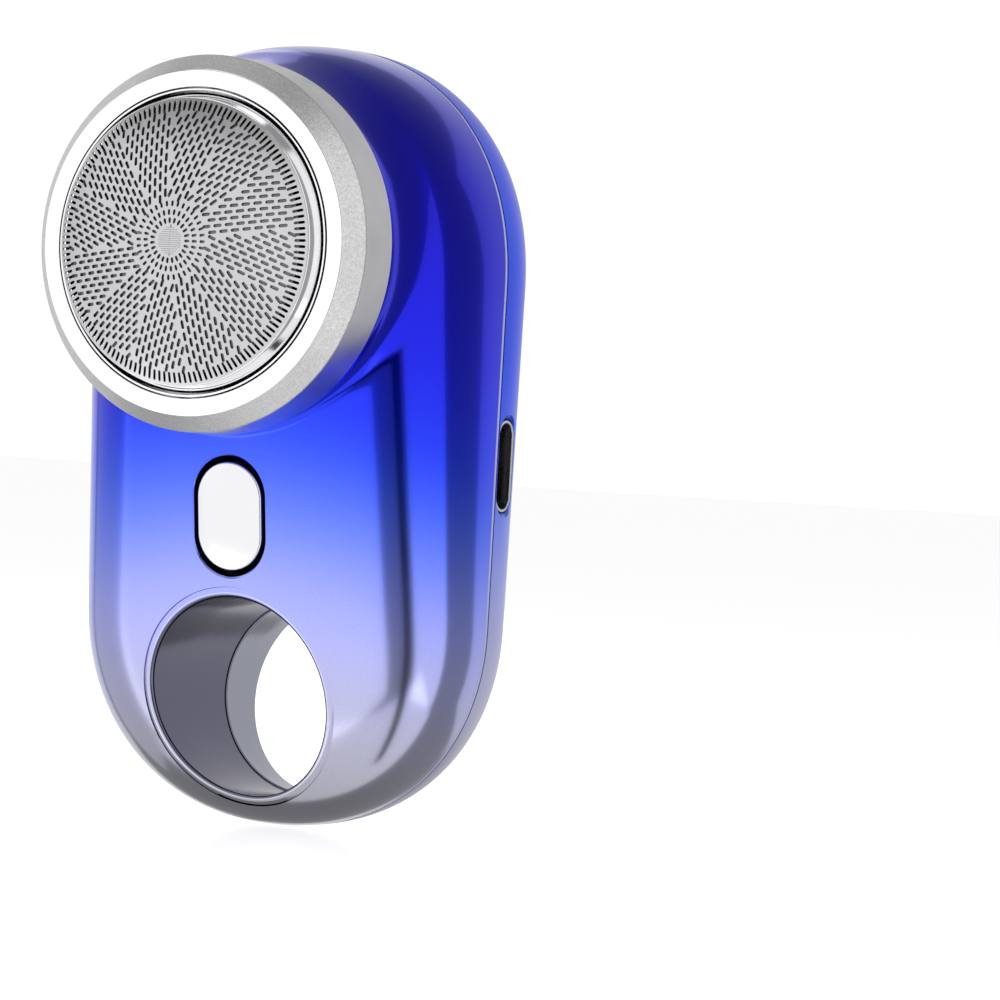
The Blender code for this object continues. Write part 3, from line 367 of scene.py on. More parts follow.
class NodeSketch:
    """A material's node tree with short calls for the few nodes that the finishes use."""

    def __init__(self, name: str) -> None:
        """Start a material with a Principled shader.

        Args:
            name: the material's name.
        """
        self.material = bpy.data.materials.new(name)
        self.material.use_nodes = True
        self.tree = self.material.node_tree
        self.shader = self.tree.nodes["Principled BSDF"]
        self.place = self.tree.nodes.new("ShaderNodeTexCoord").outputs["Object"]

    def node(self, kind: str, inputs: dict | None = None, **settings) -> bpy.types.Node:
        """Add a node.

        Args:
            kind: the node's type.
            inputs: values or sockets by input name.
            settings: the node's own properties.

        Returns:
            The node.
        """
        made = self.tree.nodes.new(kind)
        for key, value in settings.items():
            setattr(made, key, value)
        self.feed(made, inputs or {})
        return made

    def feed(self, node: bpy.types.Node, inputs: dict) -> None:
        """Set or link a node's inputs.

        Args:
            node: the node.
            inputs: a number, a colour or an output socket, by input name or number.
        """
        for key, value in inputs.items():
            socket = node.inputs[key]
            if isinstance(value, Socket):
                self.tree.links.new(value, socket)
            else:
                socket.default_value = (*value, 1.0) if socket.type == "RGBA" else value

    def maths(self, operation: str, *values: object) -> Socket:
        """Work out one step of arithmetic on up to three numbers or sockets."""
        return self.node("ShaderNodeMath", dict(enumerate(values)), operation=operation).outputs[0]

    def scaled(self, colour: object, factor: Socket) -> Socket:
        """Multiply a colour by a factor."""
        inputs = {0: colour, "Scale": factor}
        return self.node("ShaderNodeVectorMath", inputs, operation="SCALE").outputs[0]

    def noise(self, size: float, detail: float = 2.0, stretch: Colour = (1.0, 1.0, 1.0)) -> Socket:
        """Noise of 0 to 1 over the piece.

        Args:
            size: size of a feature.
            detail: octaves.
            stretch: scale along each axis.

        Returns:
            The noise's output.
        """
        moved = self.node("ShaderNodeMapping", {"Vector": self.place, "Scale": stretch})
        inputs = {"Vector": moved.outputs[0], "Scale": 1.0 / size, "Detail": detail}
        return self.node("ShaderNodeTexNoise", inputs).outputs["Fac"]

    def span(self, value: Socket, low: float, high: float, ends: Place = (0.3, 0.7)) -> Socket:
        """Spread a value over low to high.

        Args:
            value: the value.
            low: result at the first end.
            high: result at the second end.
            ends: the value's own range. Noise keeps mostly to 0.3 to 0.7.

        Returns:
            The spread value.
        """
        inputs = {"Value": value, "From Min": ends[0], "From Max": ends[1], "To Min": low, "To Max": high}
        return self.node("ShaderNodeMapRange", inputs).outputs[0]

    def relief(self, height: Socket, depth: float, strength: float = 1.0) -> None:
        """Bump the surface by a height.

        Args:
            height: 0 to 1.
            depth: what 1 stands for, in metres.
            strength: of the bump.
        """
        bump = self.node("ShaderNodeBump", {"Height": height, "Distance": depth, "Strength": strength})
        self.feed(self.shader, {"Normal": bump.outputs[0]})


# Sizes of the patches over which a finish wanders.
DRIFT = 1.0 / 28
ORANGE_PEEL = 1.0 / 60
CLOUD = 1.0 / 90
SMEAR = 1.0 / 400
DIFFUSER = 1.0 / 700
PEBBLE = 1.0 / 3000
FLAKE = 1.0 / 9000


@dataclass(frozen=True)
class Finish:
    """A plain finish: one colour that wanders a little, a roughness that wanders too, and a fine relief.

    Attributes:
        name: the material's name.
        colour: linear base colour.
        roughness: middle of the roughness.
        metallic: 0 or 1.
        grain: how the relief runs.
        grain_size: size of the relief's features.
        grain_depth: depth of the relief.
        wander: share by which colour and roughness vary.
        coat: weight of a clear coat.
    """

    name: str
    colour: Colour
    roughness: float
    metallic: float = 0.0
    grain: Grain = Grain.EVEN
    grain_size: float = 0.3 * MM
    grain_depth: float = 0.002 * MM
    wander: float = 0.12
    coat: float = 0.0

    def stretch(self) -> Colour:
        """The noise's scale along each axis, long along the way that the grain runs."""
        if self.grain is Grain.UPRIGHT:
            return (1.0, 1.0, 0.04)
        if self.grain is Grain.ROUND:
            return (0.05, 1.0, 0.05)
        return (1.0, 1.0, 1.0)

    def material(self) -> bpy.types.Material:
        """Build the material.

        Returns:
            The material, shared by every piece with this finish.
        """
        known = bpy.data.materials.get(self.name)
        if known:
            return known
        sketch = NodeSketch(self.name)
        self.dress(sketch)
        return sketch.material

    def dress(self, sketch: NodeSketch) -> None:
        """Lay colour, roughness and relief on the shader.

        Args:
            sketch: the material to dress.
        """
        tone = sketch.span(sketch.noise(CLOUD, 3.0), 1 - self.wander, 1 + self.wander)
        low, high = self.roughness * (1 - 2 * self.wander), self.roughness * (1 + 2 * self.wander)
        sketch.feed(sketch.shader, {
            "Base Color": sketch.scaled(self.colour, tone), "Metallic": self.metallic,
            "Roughness": sketch.span(sketch.noise(SMEAR, 4.0), low, high), "Coat Weight": self.coat,
        })
        sketch.relief(sketch.noise(self.grain_size, 3.0, self.stretch()), self.grain_depth)


@dataclass(frozen=True)
class Lacquer(Finish):
    """Tinted lacquer over a mirror coat, whose colour fades with height.

    Attributes:
        stops: (height above the lower end, linear colour) from the bottom up.
        top: height at the last stop's end of the scale.
        half_width: distance from the middle to the sides.
        droop: share of the scale by which the fade runs lower at the sides.
        drift: share of the scale by which the fade wanders.
        flake: share by which the flake varies the colour.
        peel: share by which the roughness varies.
        coat_roughness: of the clear coat.
    """

    stops: tuple[tuple[float, Colour], ...] = ()
    top: float = 76.0 * MM
    half_width: float = 21.3 * MM
    droop: float = 0.055
    drift: float = 0.006
    flake: float = 0.04
    peel: float = 0.1
    coat_roughness: float = 0.03

    def dress(self, sketch: NodeSketch) -> None:
        """Lay the faded colour, a fine metallic flake and the clear coat on the shader.

        Args:
            sketch: the material to dress.
        """
        across, _, up = sketch.node("ShaderNodeSeparateXYZ", {0: sketch.place}).outputs
        drift = sketch.span(sketch.noise(DRIFT), -self.drift, self.drift)
        away = sketch.maths("MULTIPLY", across, across)
        droop = sketch.maths("MULTIPLY_ADD", away, self.droop / self.half_width**2, drift)
        height = sketch.maths("MULTIPLY", up, 1.0 / self.top)
        ramp = sketch.node("ShaderNodeValToRGB", {0: sketch.maths("ADD", height, droop)})
        ramp.color_ramp.interpolation = "B_SPLINE"
        points = ramp.color_ramp.elements
        while len(points) < len(self.stops):
            points.new(0.5)
        for point, (height, colour) in zip(points, self.stops):
            point.position = height / self.top
            point.color = (*colour, 1.0)
        flake = sketch.span(sketch.noise(FLAKE, 1.0), 1 - self.flake, 1 + self.flake)
        low, high = self.roughness * (1 - self.peel), self.roughness * (1 + self.peel)
        sketch.feed(sketch.shader, {
            "Base Color": sketch.scaled(ramp.outputs[0], flake), "Metallic": self.metallic,
            "Roughness": sketch.span(sketch.noise(ORANGE_PEEL, 4.0), low, high), "Coat Weight": self.coat,
            "Coat Roughness": self.coat_roughness, "Coat IOR": 1.5,
        })
        sketch.relief(sketch.noise(self.grain_size, 1.0), self.grain_depth)


@dataclass(frozen=True)
class Blasted(Finish):
    """Sand-blasted metal, whose tiny facets sparkle.

    Attributes:
        facet_size: width of one facet.
        smoothest: least roughness.
        roughest: greatest roughness.
    """

    facet_size: float = 0.11 * MM
    smoothest: float = 0.3
    roughest: float = 0.42

    def dress(self, sketch: NodeSketch) -> None:
        """Lay grey metal with a speckled colour and a pebbled relief on the shader.

        Args:
            sketch: the material to dress.
        """
        inputs = {"Vector": sketch.place, "Scale": 1.0 / self.facet_size}
        cells = sketch.node("ShaderNodeTexVoronoi", inputs, feature="F1")
        spot = sketch.node("ShaderNodeSeparateXYZ", {0: cells.outputs["Color"]})
        tone = sketch.span(spot.outputs[0], 1 - self.wander, 1 + self.wander, ends=(0.0, 1.0))
        sketch.feed(sketch.shader, {
            "Base Color": sketch.scaled(self.colour, tone), "Metallic": self.metallic,
            "Roughness": sketch.span(sketch.noise(PEBBLE), self.smoothest, self.roughest),
        })
        sketch.relief(cells.outputs["Distance"], self.grain_depth, 0.6)


@dataclass(frozen=True)
class Glow(Finish):
    """Lit segments of a display.

    Attributes:
        strength: brightness of the light.
        dimmest: share of the strength at the dimmest place.
    """

    strength: float = 3.0
    dimmest: float = 0.9

    def dress(self, sketch: NodeSketch) -> None:
        """Light the segments, a little unevenly, as a diffuser does.

        Args:
            sketch: the material to dress.
        """
        super().dress(sketch)
        glow = sketch.span(sketch.noise(DIFFUSER), self.strength * self.dimmest, self.strength)
        sketch.feed(sketch.shader, {"Emission Color": self.colour, "Emission Strength": glow})


SHELL_LACQUER = Lacquer(
    "fading blue lacquer", linear(60, 70, 220), 0.17, 1.0, Grain.EVEN, 0.05 * MM, 0.00004 * MM,
    coat=0.3,
    stops=(
        (1.0 * MM, linear(150, 150, 158)),
        (8.0 * MM, linear(174, 174, 190)),
        (16.0 * MM, linear(176, 177, 216)),
        (23.0 * MM, linear(160, 166, 244)),
        (29.0 * MM, linear(110, 132, 248)),
        (35.0 * MM, linear(58, 92, 246)),
        (41.0 * MM, linear(26, 52, 240)),
        (50.0 * MM, linear(20, 24, 224)),
        (62.0 * MM, linear(20, 16, 200)),
        (76.0 * MM, linear(22, 16, 176)),
    ),
)
REAR_LACQUER = Lacquer(
    "satin rear lacquer", linear(60, 90, 220), 0.34, 1.0, Grain.EVEN, 0.05 * MM, 0.00004 * MM,
    coat=0.15,
    stops=(
        (1.0 * MM, linear(160, 160, 172)),
        (10.0 * MM, linear(178, 178, 200)),
        (20.0 * MM, linear(174, 176, 212)),
        (28.0 * MM, linear(148, 158, 232)),
        (35.0 * MM, linear(96, 126, 246)),
        (42.0 * MM, linear(46, 92, 246)),
        (52.0 * MM, linear(26, 66, 238)),
        (64.0 * MM, linear(34, 84, 238)),
        (76.0 * MM, linear(24, 34, 200)),
    ),
    droop=0.035,
)
# The strip in the seam stands for the gasket. Its pale colour is painted highlight: the thin light line that the
# shells' edges catch along the seam.
SEAM_HIGHLIGHT_STRIP = Finish(
    "seam strip with painted highlight", linear(176, 182, 222), 0.3, metallic=0.6, grain_depth=0.0005 * MM, wander=0.04
)
POLISHED = Finish(
    "polished ring face", linear(236, 236, 237), 0.1, 1.0, Grain.ROUND, 0.08 * MM, 0.0002 * MM, 0.02
)
BLASTED = Blasted("blasted chamfer", linear(214, 214, 215), 0.36, 1.0, grain_depth=0.02 * MM)
SATIN = Finish("satin turned side", linear(196, 196, 198), 0.34, 1.0, Grain.ROUND, 0.05 * MM, 0.0012 * MM, 0.05)
BRIGHT = Finish("bright thin metal", linear(238, 238, 240), 0.07, 1.0, grain_depth=0.0002 * MM, wander=0.03)
FOIL_STEEL = Finish("foil steel", linear(190, 190, 192), 0.26, 1.0, Grain.EVEN, 0.06 * MM, 0.0015 * MM, 0.05)
# Steel of the dome under the foil, much darker than the foil's own steel. The darkness is painted shade beneath
# the foil, seen through the slots.
SHADED_FOIL_UNDER = Finish(
    "steel darkened by painted shade under the slots", linear(112, 112, 114), 0.42, 1.0, Grain.EVEN, 0.1 * MM, 0.002 * MM, 0.08
)
# The front liner's chrome is a darker copy of the rear liner's chrome. Its darkness is painted shade inside the
# front half of the finger hole.
SHADED_LINER_CHROME = Finish("chrome darkened by painted shade", linear(100, 99, 118), 0.14, 1.0, Grain.EVEN, 2.0 * MM, 0.003 * MM, 0.03)
REAR_CHROME = Finish("bright chrome", linear(150, 152, 166), 0.12, 1.0, Grain.EVEN, 2.0 * MM, 0.003 * MM, 0.03)
PEARL = Finish("pearl silver", linear(222, 222, 225), 0.24, 1.0, Grain.EVEN, 0.05 * MM, 0.0003 * MM, 0.02, 0.4)
BLACK_GLASS = Finish("black glass", linear(12, 12, 15), 0.08, grain_size=3.0 * MM, grain_depth=0.0005 * MM)
DIGIT_LIGHT = Glow("lit digits", linear(250, 252, 255), 0.4, wander=0.02, strength=2.4)
STEEL = Finish("machined steel", linear(196, 197, 200), 0.28, 1.0, Grain.ROUND)
BLADE_STEEL = Finish("ground blade", linear(214, 214, 216), 0.18, 1.0, Grain.UPRIGHT, 0.1 * MM)
BRASS = Finish("machined brass", linear(214, 184, 118), 0.25, 1.0)
MAGNET = Finish("sintered magnet", linear(62, 62, 66), 0.62, grain_size=0.12 * MM, grain_depth=0.02 * MM)
COPPER = Finish("enamelled copper winding", linear(206, 112, 62), 0.28, 1.0, Grain.UPRIGHT, 0.25 * MM, 0.03 * MM)
BLACK_MOULDED = Finish("black moulding", linear(38, 38, 40), 0.48, 0.0, Grain.EVEN, 0.12 * MM, 0.006 * MM)
WHITE_MOULDED = Finish("white moulding", linear(226, 226, 222), 0.42, 0.0, Grain.EVEN, 0.15 * MM, 0.004 * MM)
RUBBER = Finish("seal rubber", linear(44, 44, 44), 0.72, grain_size=0.2 * MM, grain_depth=0.006 * MM)
BOARD_MASK = Finish(
    "green solder mask", linear(30, 104, 56), 0.34, grain_size=0.8 * MM, grain_depth=0.01 * MM, coat=0.3
)
POUCH = Finish("battery laminate", linear(186, 188, 190), 0.3, 1.0, Grain.EVEN, 1.6 * MM, 0.05 * MM)
AMBER_FILM = Finish("amber film", linear(206, 142, 50), 0.3, grain=Grain.UPRIGHT, coat=0.4)
RED_LEAD = Finish("red insulation", linear(186, 30, 24), 0.42)
BLACK_LEAD = Finish("black insulation", linear(30, 30, 30), 0.42)
GOLD = Finish("gold contact", linear(228, 190, 96), 0.2, 1.0)

SLOT_FINISHES = {
    "shell": SHELL_LACQUER, "seam": SEAM_HIGHLIGHT_STRIP, "sleeve": SHADED_LINER_CHROME, "display_glass": BLACK_GLASS,
    "bright_metal": BRIGHT, "head_metal": SATIN, "foil": FOIL_STEEL, "steel": STEEL, "blade": BLADE_STEEL,
    "brass": BRASS, "magnet": MAGNET, "copper": COPPER, "black_plastic": BLACK_MOULDED,
    "white_plastic": WHITE_MOULDED, "seal": RUBBER, "button": PEARL, "board": BOARD_MASK, "battery": POUCH,
    "flex": AMBER_FILM, "red_lead": RED_LEAD, "black_lead": BLACK_LEAD,
}


def add_piece(
    name: str, mesh: Mesh, finishes: list[Finish], body: Body, stands_for: tuple[str, ...] = ()
) -> bpy.types.Object:
    """Add a finished piece at the origin, dress it and hang it on its body.

    Args:
        name: the piece's name.
        mesh: its mesh, in the row frame.
        finishes: its finishes, by material number.
        body: the body that it rides on.
        stands_for: the CAD nodes that it replaces.

    Returns:
        The object.
    """
    piece = bpy.data.objects.new(name, mesh)
    bpy.context.scene.collection.objects.link(piece)
    for finish in finishes:
        mesh.materials.append(finish.material())
    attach(piece, body.value)
    if stands_for:
        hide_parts(*stands_for)
    LOG.info("%s rides on %s with %d faces", name, body.value, len(mesh.polygons))
    return piece


def cut(mesh: Mesh, tool: Mesh) -> Mesh:
    """Take a closed tool out of a closed mesh and keep the result as a new mesh.

    Args:
        mesh: what is cut.
        tool: what cuts it.

    Returns:
        The cut mesh.
    """
    pair = [bpy.data.objects.new(part.name, part) for part in (mesh, tool)]
    for part in pair:
        bpy.context.scene.collection.objects.link(part)
    taken = pair[0].modifiers.new("cut", "BOOLEAN")
    taken.operation, taken.solver, taken.object = "DIFFERENCE", "EXACT", pair[1]
    graph = bpy.context.evaluated_depsgraph_get()
    made = bpy.data.meshes.new_from_object(pair[0].evaluated_get(graph), depsgraph=graph)
    for part in pair:
        bpy.data.objects.remove(part, do_unlink=True)
    made.name = mesh.name
    return made


# Sub-assemblies


@dataclass
class Shells:
    """The two shells, the pale strip in their seam and the flange inside the neck.

    Attributes:
        frame: the face frame.
        form: the body's form.
        head_y: height of the head's axis.
        finger_y: height of the finger hole's axis.
        display_y: height of the display's axis.
        neck_radius: outside of the neck.
        neck_bore: inside of the neck.
        neck_rim: height of the neck's rim.
        neck_foot: back of the flange.
        flange_bore: opening in the flange.
        flange_front: front of the flange.
        neck_fillet: reach of the fillet at the neck's foot.
        window: radius of the display's opening.
        finger_bore: radius of the bore for the finger sleeves.
        columns: columns round each shell.
        rows: rows from the middle opening to the seam.
    """

    frame: FaceFrame
    form: BodyForm
    head_y: float
    finger_y: float
    display_y: float
    neck_radius: float = 17.4 * MM
    neck_bore: float = 15.8 * MM
    neck_rim: float = 16.4 * MM
    neck_foot: float = 9.66 * MM
    flange_bore: float = 13.0 * MM
    flange_front: float = 11.06 * MM
    neck_fillet: float = 1.7 * MM
    window: float = 8.7 * MM
    finger_bore: float = 10.62 * MM
    columns: int = 320
    rows: int = 90

    def field(self, centre: Place, start: np.ndarray, forward: int, rows: int, sink: float) -> np.ndarray:
        """Lay rows of points on a face from round an opening out to the seam.

        The distance from the centre runs as start + (reach - start)(1 - (1 - t)^c), with c the crown's power,
        so that the rows stay evenly spaced where the face turns down to the seam. The last row lies on the
        shell's edge.

        Args:
            centre: the middle of the opening.
            start: distance of the first row, for each column.
            forward: 1 for the front face, -1 for the back.
            rows: number of rows.
            sink: how far inside the face the rows lie.

        Returns:
            rows x columns x 3 points of the face frame.
        """
        angle, last = round_angles(self.columns), 0.955
        reach = self.form.reach(centre, angle) - sink
        t = np.linspace(0.0, last, rows)[:, None]
        distance = start + (reach - start) * (1 - (1 - t) ** self.form.crown_power)
        x = centre[0] + distance * np.cos(angle)
        y = centre[1] + distance * np.sin(angle)
        z = forward * np.maximum(np.abs(self.form.height(x, y, forward)) - sink, self.form.seam_half * 1.1)
        edge_x, edge_y = centre[0] + reach * np.cos(angle), centre[1] + reach * np.sin(angle)
        edge = stack(edge_x, edge_y, np.full_like(angle, forward * self.form.seam_half))
        return np.concatenate([stack(x, y, z), edge[None]], axis=0)

    def neck_rows(self, surface: np.ndarray) -> np.ndarray:
        """Rise from a face's first row through the fillet, up the neck and back down inside it to the flange.

        The fillet is the quadratic Bezier curve from the face, by the point where the face would meet the neck,
        to the neck's side.

        Args:
            surface: the face's rows, of which the first two give its height and slope at the fillet.

        Returns:
            Rows of points from the flange's back, over the rim, to the fillet's end.
        """
        angle, (first, second) = round_angles(self.columns), surface[:2]
        run = np.hypot(first[:, 0], first[:, 1] - self.head_y)
        run_next = np.hypot(second[:, 0], second[:, 1] - self.head_y)
        slope = (second[:, 2] - first[:, 2]) / (run_next - run)
        foot = first[:, 2] + slope * (self.neck_radius - run)
        rise = np.minimum(run - self.neck_radius, 0.75 * (self.neck_rim - foot))
        t = np.linspace(0.0, 1.0, 12)[::-1, None]
        radius = bezier(run, self.neck_radius, self.neck_radius, t)
        height = bezier(first[:, 2], foot, foot + rise, t)
        fillet = stack(radius * np.cos(angle), self.head_y + radius * np.sin(angle), height)[:-1]
        edge = 0.25 * MM
        profile = np.array([
            (self.neck_radius - 0.2 * MM, self.neck_foot), (self.flange_bore, self.neck_foot),
            (self.flange_bore, self.flange_front), (self.neck_bore, self.flange_front),
            (self.neck_bore, self.neck_rim - edge), (self.neck_bore + 0.3 * edge, self.neck_rim - 0.3 * edge),
            (self.neck_bore + edge, self.neck_rim), (self.neck_radius - edge, self.neck_rim),
            (self.neck_radius - 0.3 * edge, self.neck_rim - 0.3 * edge),
            (self.neck_radius, self.neck_rim - edge),
        ])
        return np.concatenate([turned(profile, (0.0, self.head_y), self.columns), fillet], axis=0)

    def closed_shell(self, name: str, rim: np.ndarray, outside: np.ndarray, inside: np.ndarray) -> Mesh:
        """Join the rows over the rim, out along the outside and back along the inside into a closed wall."""
        points = np.concatenate([rim, outside, inside[::-1]], axis=0)
        return grid_mesh(name, self.frame.place(points), ring_rows=True)

    def finger_tool(self) -> Mesh:
        """The cylinder that bores a shell for the finger sleeves."""
        far, bore = 30 * MM, self.finger_bore
        ends = np.array([(0.0, far), (bore, far), (bore, -far), (0.0, -far)])
        return grid_mesh("finger tool", self.frame.place(turned(ends, (0.0, self.finger_y), 192)))

    def button_tool(self, button: "PowerButton") -> Mesh:
        """The stadium that cuts the button's recess, flared at the face into a chamfer.

        Args:
            button: the button, for its size and tilt.

        Returns:
            The tool's mesh.
        """
        play, flare, depth = button.play, button.chamfer, 4 * MM
        outline = np.array([
            (button.half_width, -depth), (-play, -depth), (-play, -flare), (-play - flare, 0.0),
            (-play - 3 * flare, 2 * flare), (button.half_width, 2 * flare),
        ])
        rings = stadium_rings(button.half_width, button.half_height + play / 2, outline)
        return grid_mesh("button tool", button.place(rings))

    def slot_tool(self, port: "ChargingPort") -> Mesh:
        """The stadium that cuts the charging slot, flared at the side into a small chamfer."""
        depth, flare = 4 * MM, 1.2 * MM
        outline = np.array([
            (port.half_thickness, -depth), (-port.play, -depth), (-port.play, 0.0),
            (-port.play - flare, flare), (port.half_thickness, flare),
        ])
        rings = stadium_rings(port.half_thickness, port.half_width, outline)
        return grid_mesh("slot tool", port.place(rings, port.side))

    def build(self, button: "PowerButton", port: "ChargingPort") -> None:
        """Build both shells and the seam strip.

        Args:
            button: the button whose recess is cut.
            port: the charging port whose slot is cut.
        """
        head, display = (0.0, self.head_y), (0.0, self.display_y)
        angle = round_angles(self.columns)
        reach = self.form.reach(head, angle)
        start = self.neck_radius + np.minimum(self.neck_fillet, 0.55 * (reach - self.neck_radius))
        outside = self.field(head, start, 1, self.rows, 0.0)
        inside = self.field(head, start, 1, self.rows // 3, self.form.wall)
        front = self.closed_shell("front_skin", self.neck_rows(outside), outside, inside)
        front = cut(cut(front, self.finger_tool()), self.button_tool(button))
        self.crease(front)
        add_piece("front_skin", front, [SHELL_LACQUER], Body.SHELL, ("front_shell",))

        edge = 0.2 * MM
        start = np.full_like(angle, self.window + edge)
        outside = self.field(display, start, -1, self.rows, 0.0)
        inside = self.field(display, start, -1, self.rows // 3, self.form.wall)
        lip = outside[0][None].repeat(3, axis=0)
        turn = np.linspace(0.0, np.pi / 2, 4)[:3, None]
        radius = self.window + edge * (1 - np.cos(turn))
        lip[..., 0], lip[..., 1] = radius * np.cos(angle), self.display_y + radius * np.sin(angle)
        lip[..., 2] += edge * (1 - np.sin(turn))
        rear = cut(self.closed_shell("rear_skin", lip, outside, inside), self.finger_tool())
        rear = cut(rear, self.slot_tool(port))
        self.crease(rear)
        add_piece("rear_skin", rear, [REAR_LACQUER], Body.SHELL, ("rear_shell",))
        self.build_seam()

    def crease(self, mesh: Mesh) -> None:
        """Shade a shell smooth with its cut edges sharp."""
        mesh.shade_smooth()
        mesh.set_sharp_from_angle(angle=math.radians(28.0))

    def build_seam(self) -> None:
        """Lay the pale strip: a rounded bar carried round the outline, inset along its normal."""
        angle = round_angles(2 * self.columns)
        reach = self.form.reach((0.0, 0.0), angle)
        edge = stack(reach * np.cos(angle), reach * np.sin(angle))
        along = np.roll(edge, -1, axis=0) - np.roll(edge, 1, axis=0)
        along /= np.linalg.norm(along, axis=1, keepdims=True)
        inward = stack(-along[:, 1], along[:, 0])
        half, sink, depth, soft = 0.25 * MM, 0.04 * MM, 1.3 * MM, 0.12 * MM
        bar = rounded([(sink, half, soft), (sink, -half, soft), (depth, -half, 0.0), (depth, half, 0.0)])
        flat = edge[None] + inward[None] * bar[:, :1, None]
        height = np.broadcast_to(bar[:, 1:, None], (*flat.shape[:2], 1))
        points = self.frame.place(np.concatenate([flat, height], axis=-1))
        mesh = grid_mesh("seam_strip", points, ring_rows=True)
        # The strip's pale colour is painted highlight along the seam.
        add_piece("seam_strip", mesh, [SEAM_HIGHLIGHT_STRIP], Body.SHELL, ("seam_gasket",))


@dataclass
class FingerLiner:
    """The two sleeves and the band that line the finger hole.

    Attributes:
        frame: the face frame.
        form: the body's form.
        centre_y: height of the hole's axis.
        radius: of the hole.
        wall: of a sleeve.
        joint: the band's middle, behind the seam's middle when below zero.
        band_half: half the band's width.
        ledge: how far the band stands in.
        lip: how far a sleeve's rim rounds over.
        columns: columns round the hole.
    """

    frame: FaceFrame
    form: BodyForm
    centre_y: float
    radius: float = 9.6 * MM
    wall: float = 1.0 * MM
    joint: float = -3.8 * MM
    band_half: float = 0.3 * MM
    ledge: float = 0.15 * MM
    lip: float = 0.6 * MM
    columns: int = 256

    def sleeve(self, name: str, forward: int) -> Mesh:
        """Line the bore from the band to a face, with a quarter-round rim that follows the face.

        The rim runs as r = radius + lip (1 - sin a), height = face at r - lip (1 - cos a), for a from 0 to 90
        degrees, and the straight bore goes on from there to the joint.

        Args:
            name: the mesh's name.
            forward: 1 for the front sleeve, -1 for the rear.

        Returns:
            The sleeve's mesh.
        """
        angle, edge = round_angles(self.columns), 0.12 * MM
        outer, gap = self.radius + self.wall, 0.05 * MM
        end = self.joint + forward * (self.band_half + gap)
        turn = np.linspace(0.0, np.pi / 2, 12)
        lip = self.radius + self.lip * (1 - np.sin(turn))
        radius = np.concatenate([[outer, outer], lip, [self.radius, self.radius, self.radius + edge, outer]])
        sink = np.concatenate([[0.0, edge], self.lip * (1 - np.cos(turn)), [0.0] * 4])
        x, y = radius[:, None] * np.cos(angle), self.centre_y + radius[:, None] * np.sin(angle)
        z = self.form.height(x, y, forward) - forward * sink[:, None]
        z[0], z[-1], z[-2], z[-3] = end, end, end, end + forward * edge
        z[-4] = (z[-5] + z[-3]) / 2
        return grid_mesh(name, self.frame.place(stack(x, y, z)), ring_rows=True)

    def paint_rim(self, mesh: Mesh, forward: int) -> None:
        """Carry the shell's lacquer over the outer part of a sleeve's rim.

        Args:
            mesh: the sleeve's mesh, whose faces get their finish's number.
            forward: 1 for the front sleeve, -1 for the rear.
        """
        x, y, z = face_centres(mesh, self.frame)
        radius = np.hypot(x, y - self.centre_y)
        depth = np.abs(self.form.height(x, y, forward)) - forward * z
        number_faces(mesh, (radius > self.radius + 0.42 * self.lip) & (depth < 0.5 * self.lip))

    def build(self) -> None:
        """Build the sleeves and the band."""
        # The front sleeve wears the darker chrome, which is painted shade; the rear sleeve wears the lighter
        # chrome.
        for forward, end, worn in (
            (1, "front", [SHADED_LINER_CHROME, SHELL_LACQUER]), (-1, "rear", [REAR_CHROME, REAR_LACQUER])
        ):
            mesh = self.sleeve(f"liner_{end}", forward)
            mesh.set_sharp_from_angle(angle=math.radians(40.0))
            self.paint_rim(mesh, forward)
            add_piece(mesh.name, mesh, worn, Body.SHELL, (f"finger_sleeve_{end}",))
        inner, outer, edge = self.radius - self.ledge, self.radius + self.wall, 0.08 * MM
        low, high = self.joint - self.band_half, self.joint + self.band_half
        outline = rounded([(inner, high, edge), (inner, low, edge), (outer, low, 0.0), (outer, high, 0.0)])
        points = self.frame.place(turned(outline, (0.0, self.centre_y), self.columns))
        mesh = grid_mesh("liner_band", points, ring_rows=True)
        add_piece("liner_band", mesh, [REAR_CHROME], Body.SHELL, ("finger_sleeve_band",))


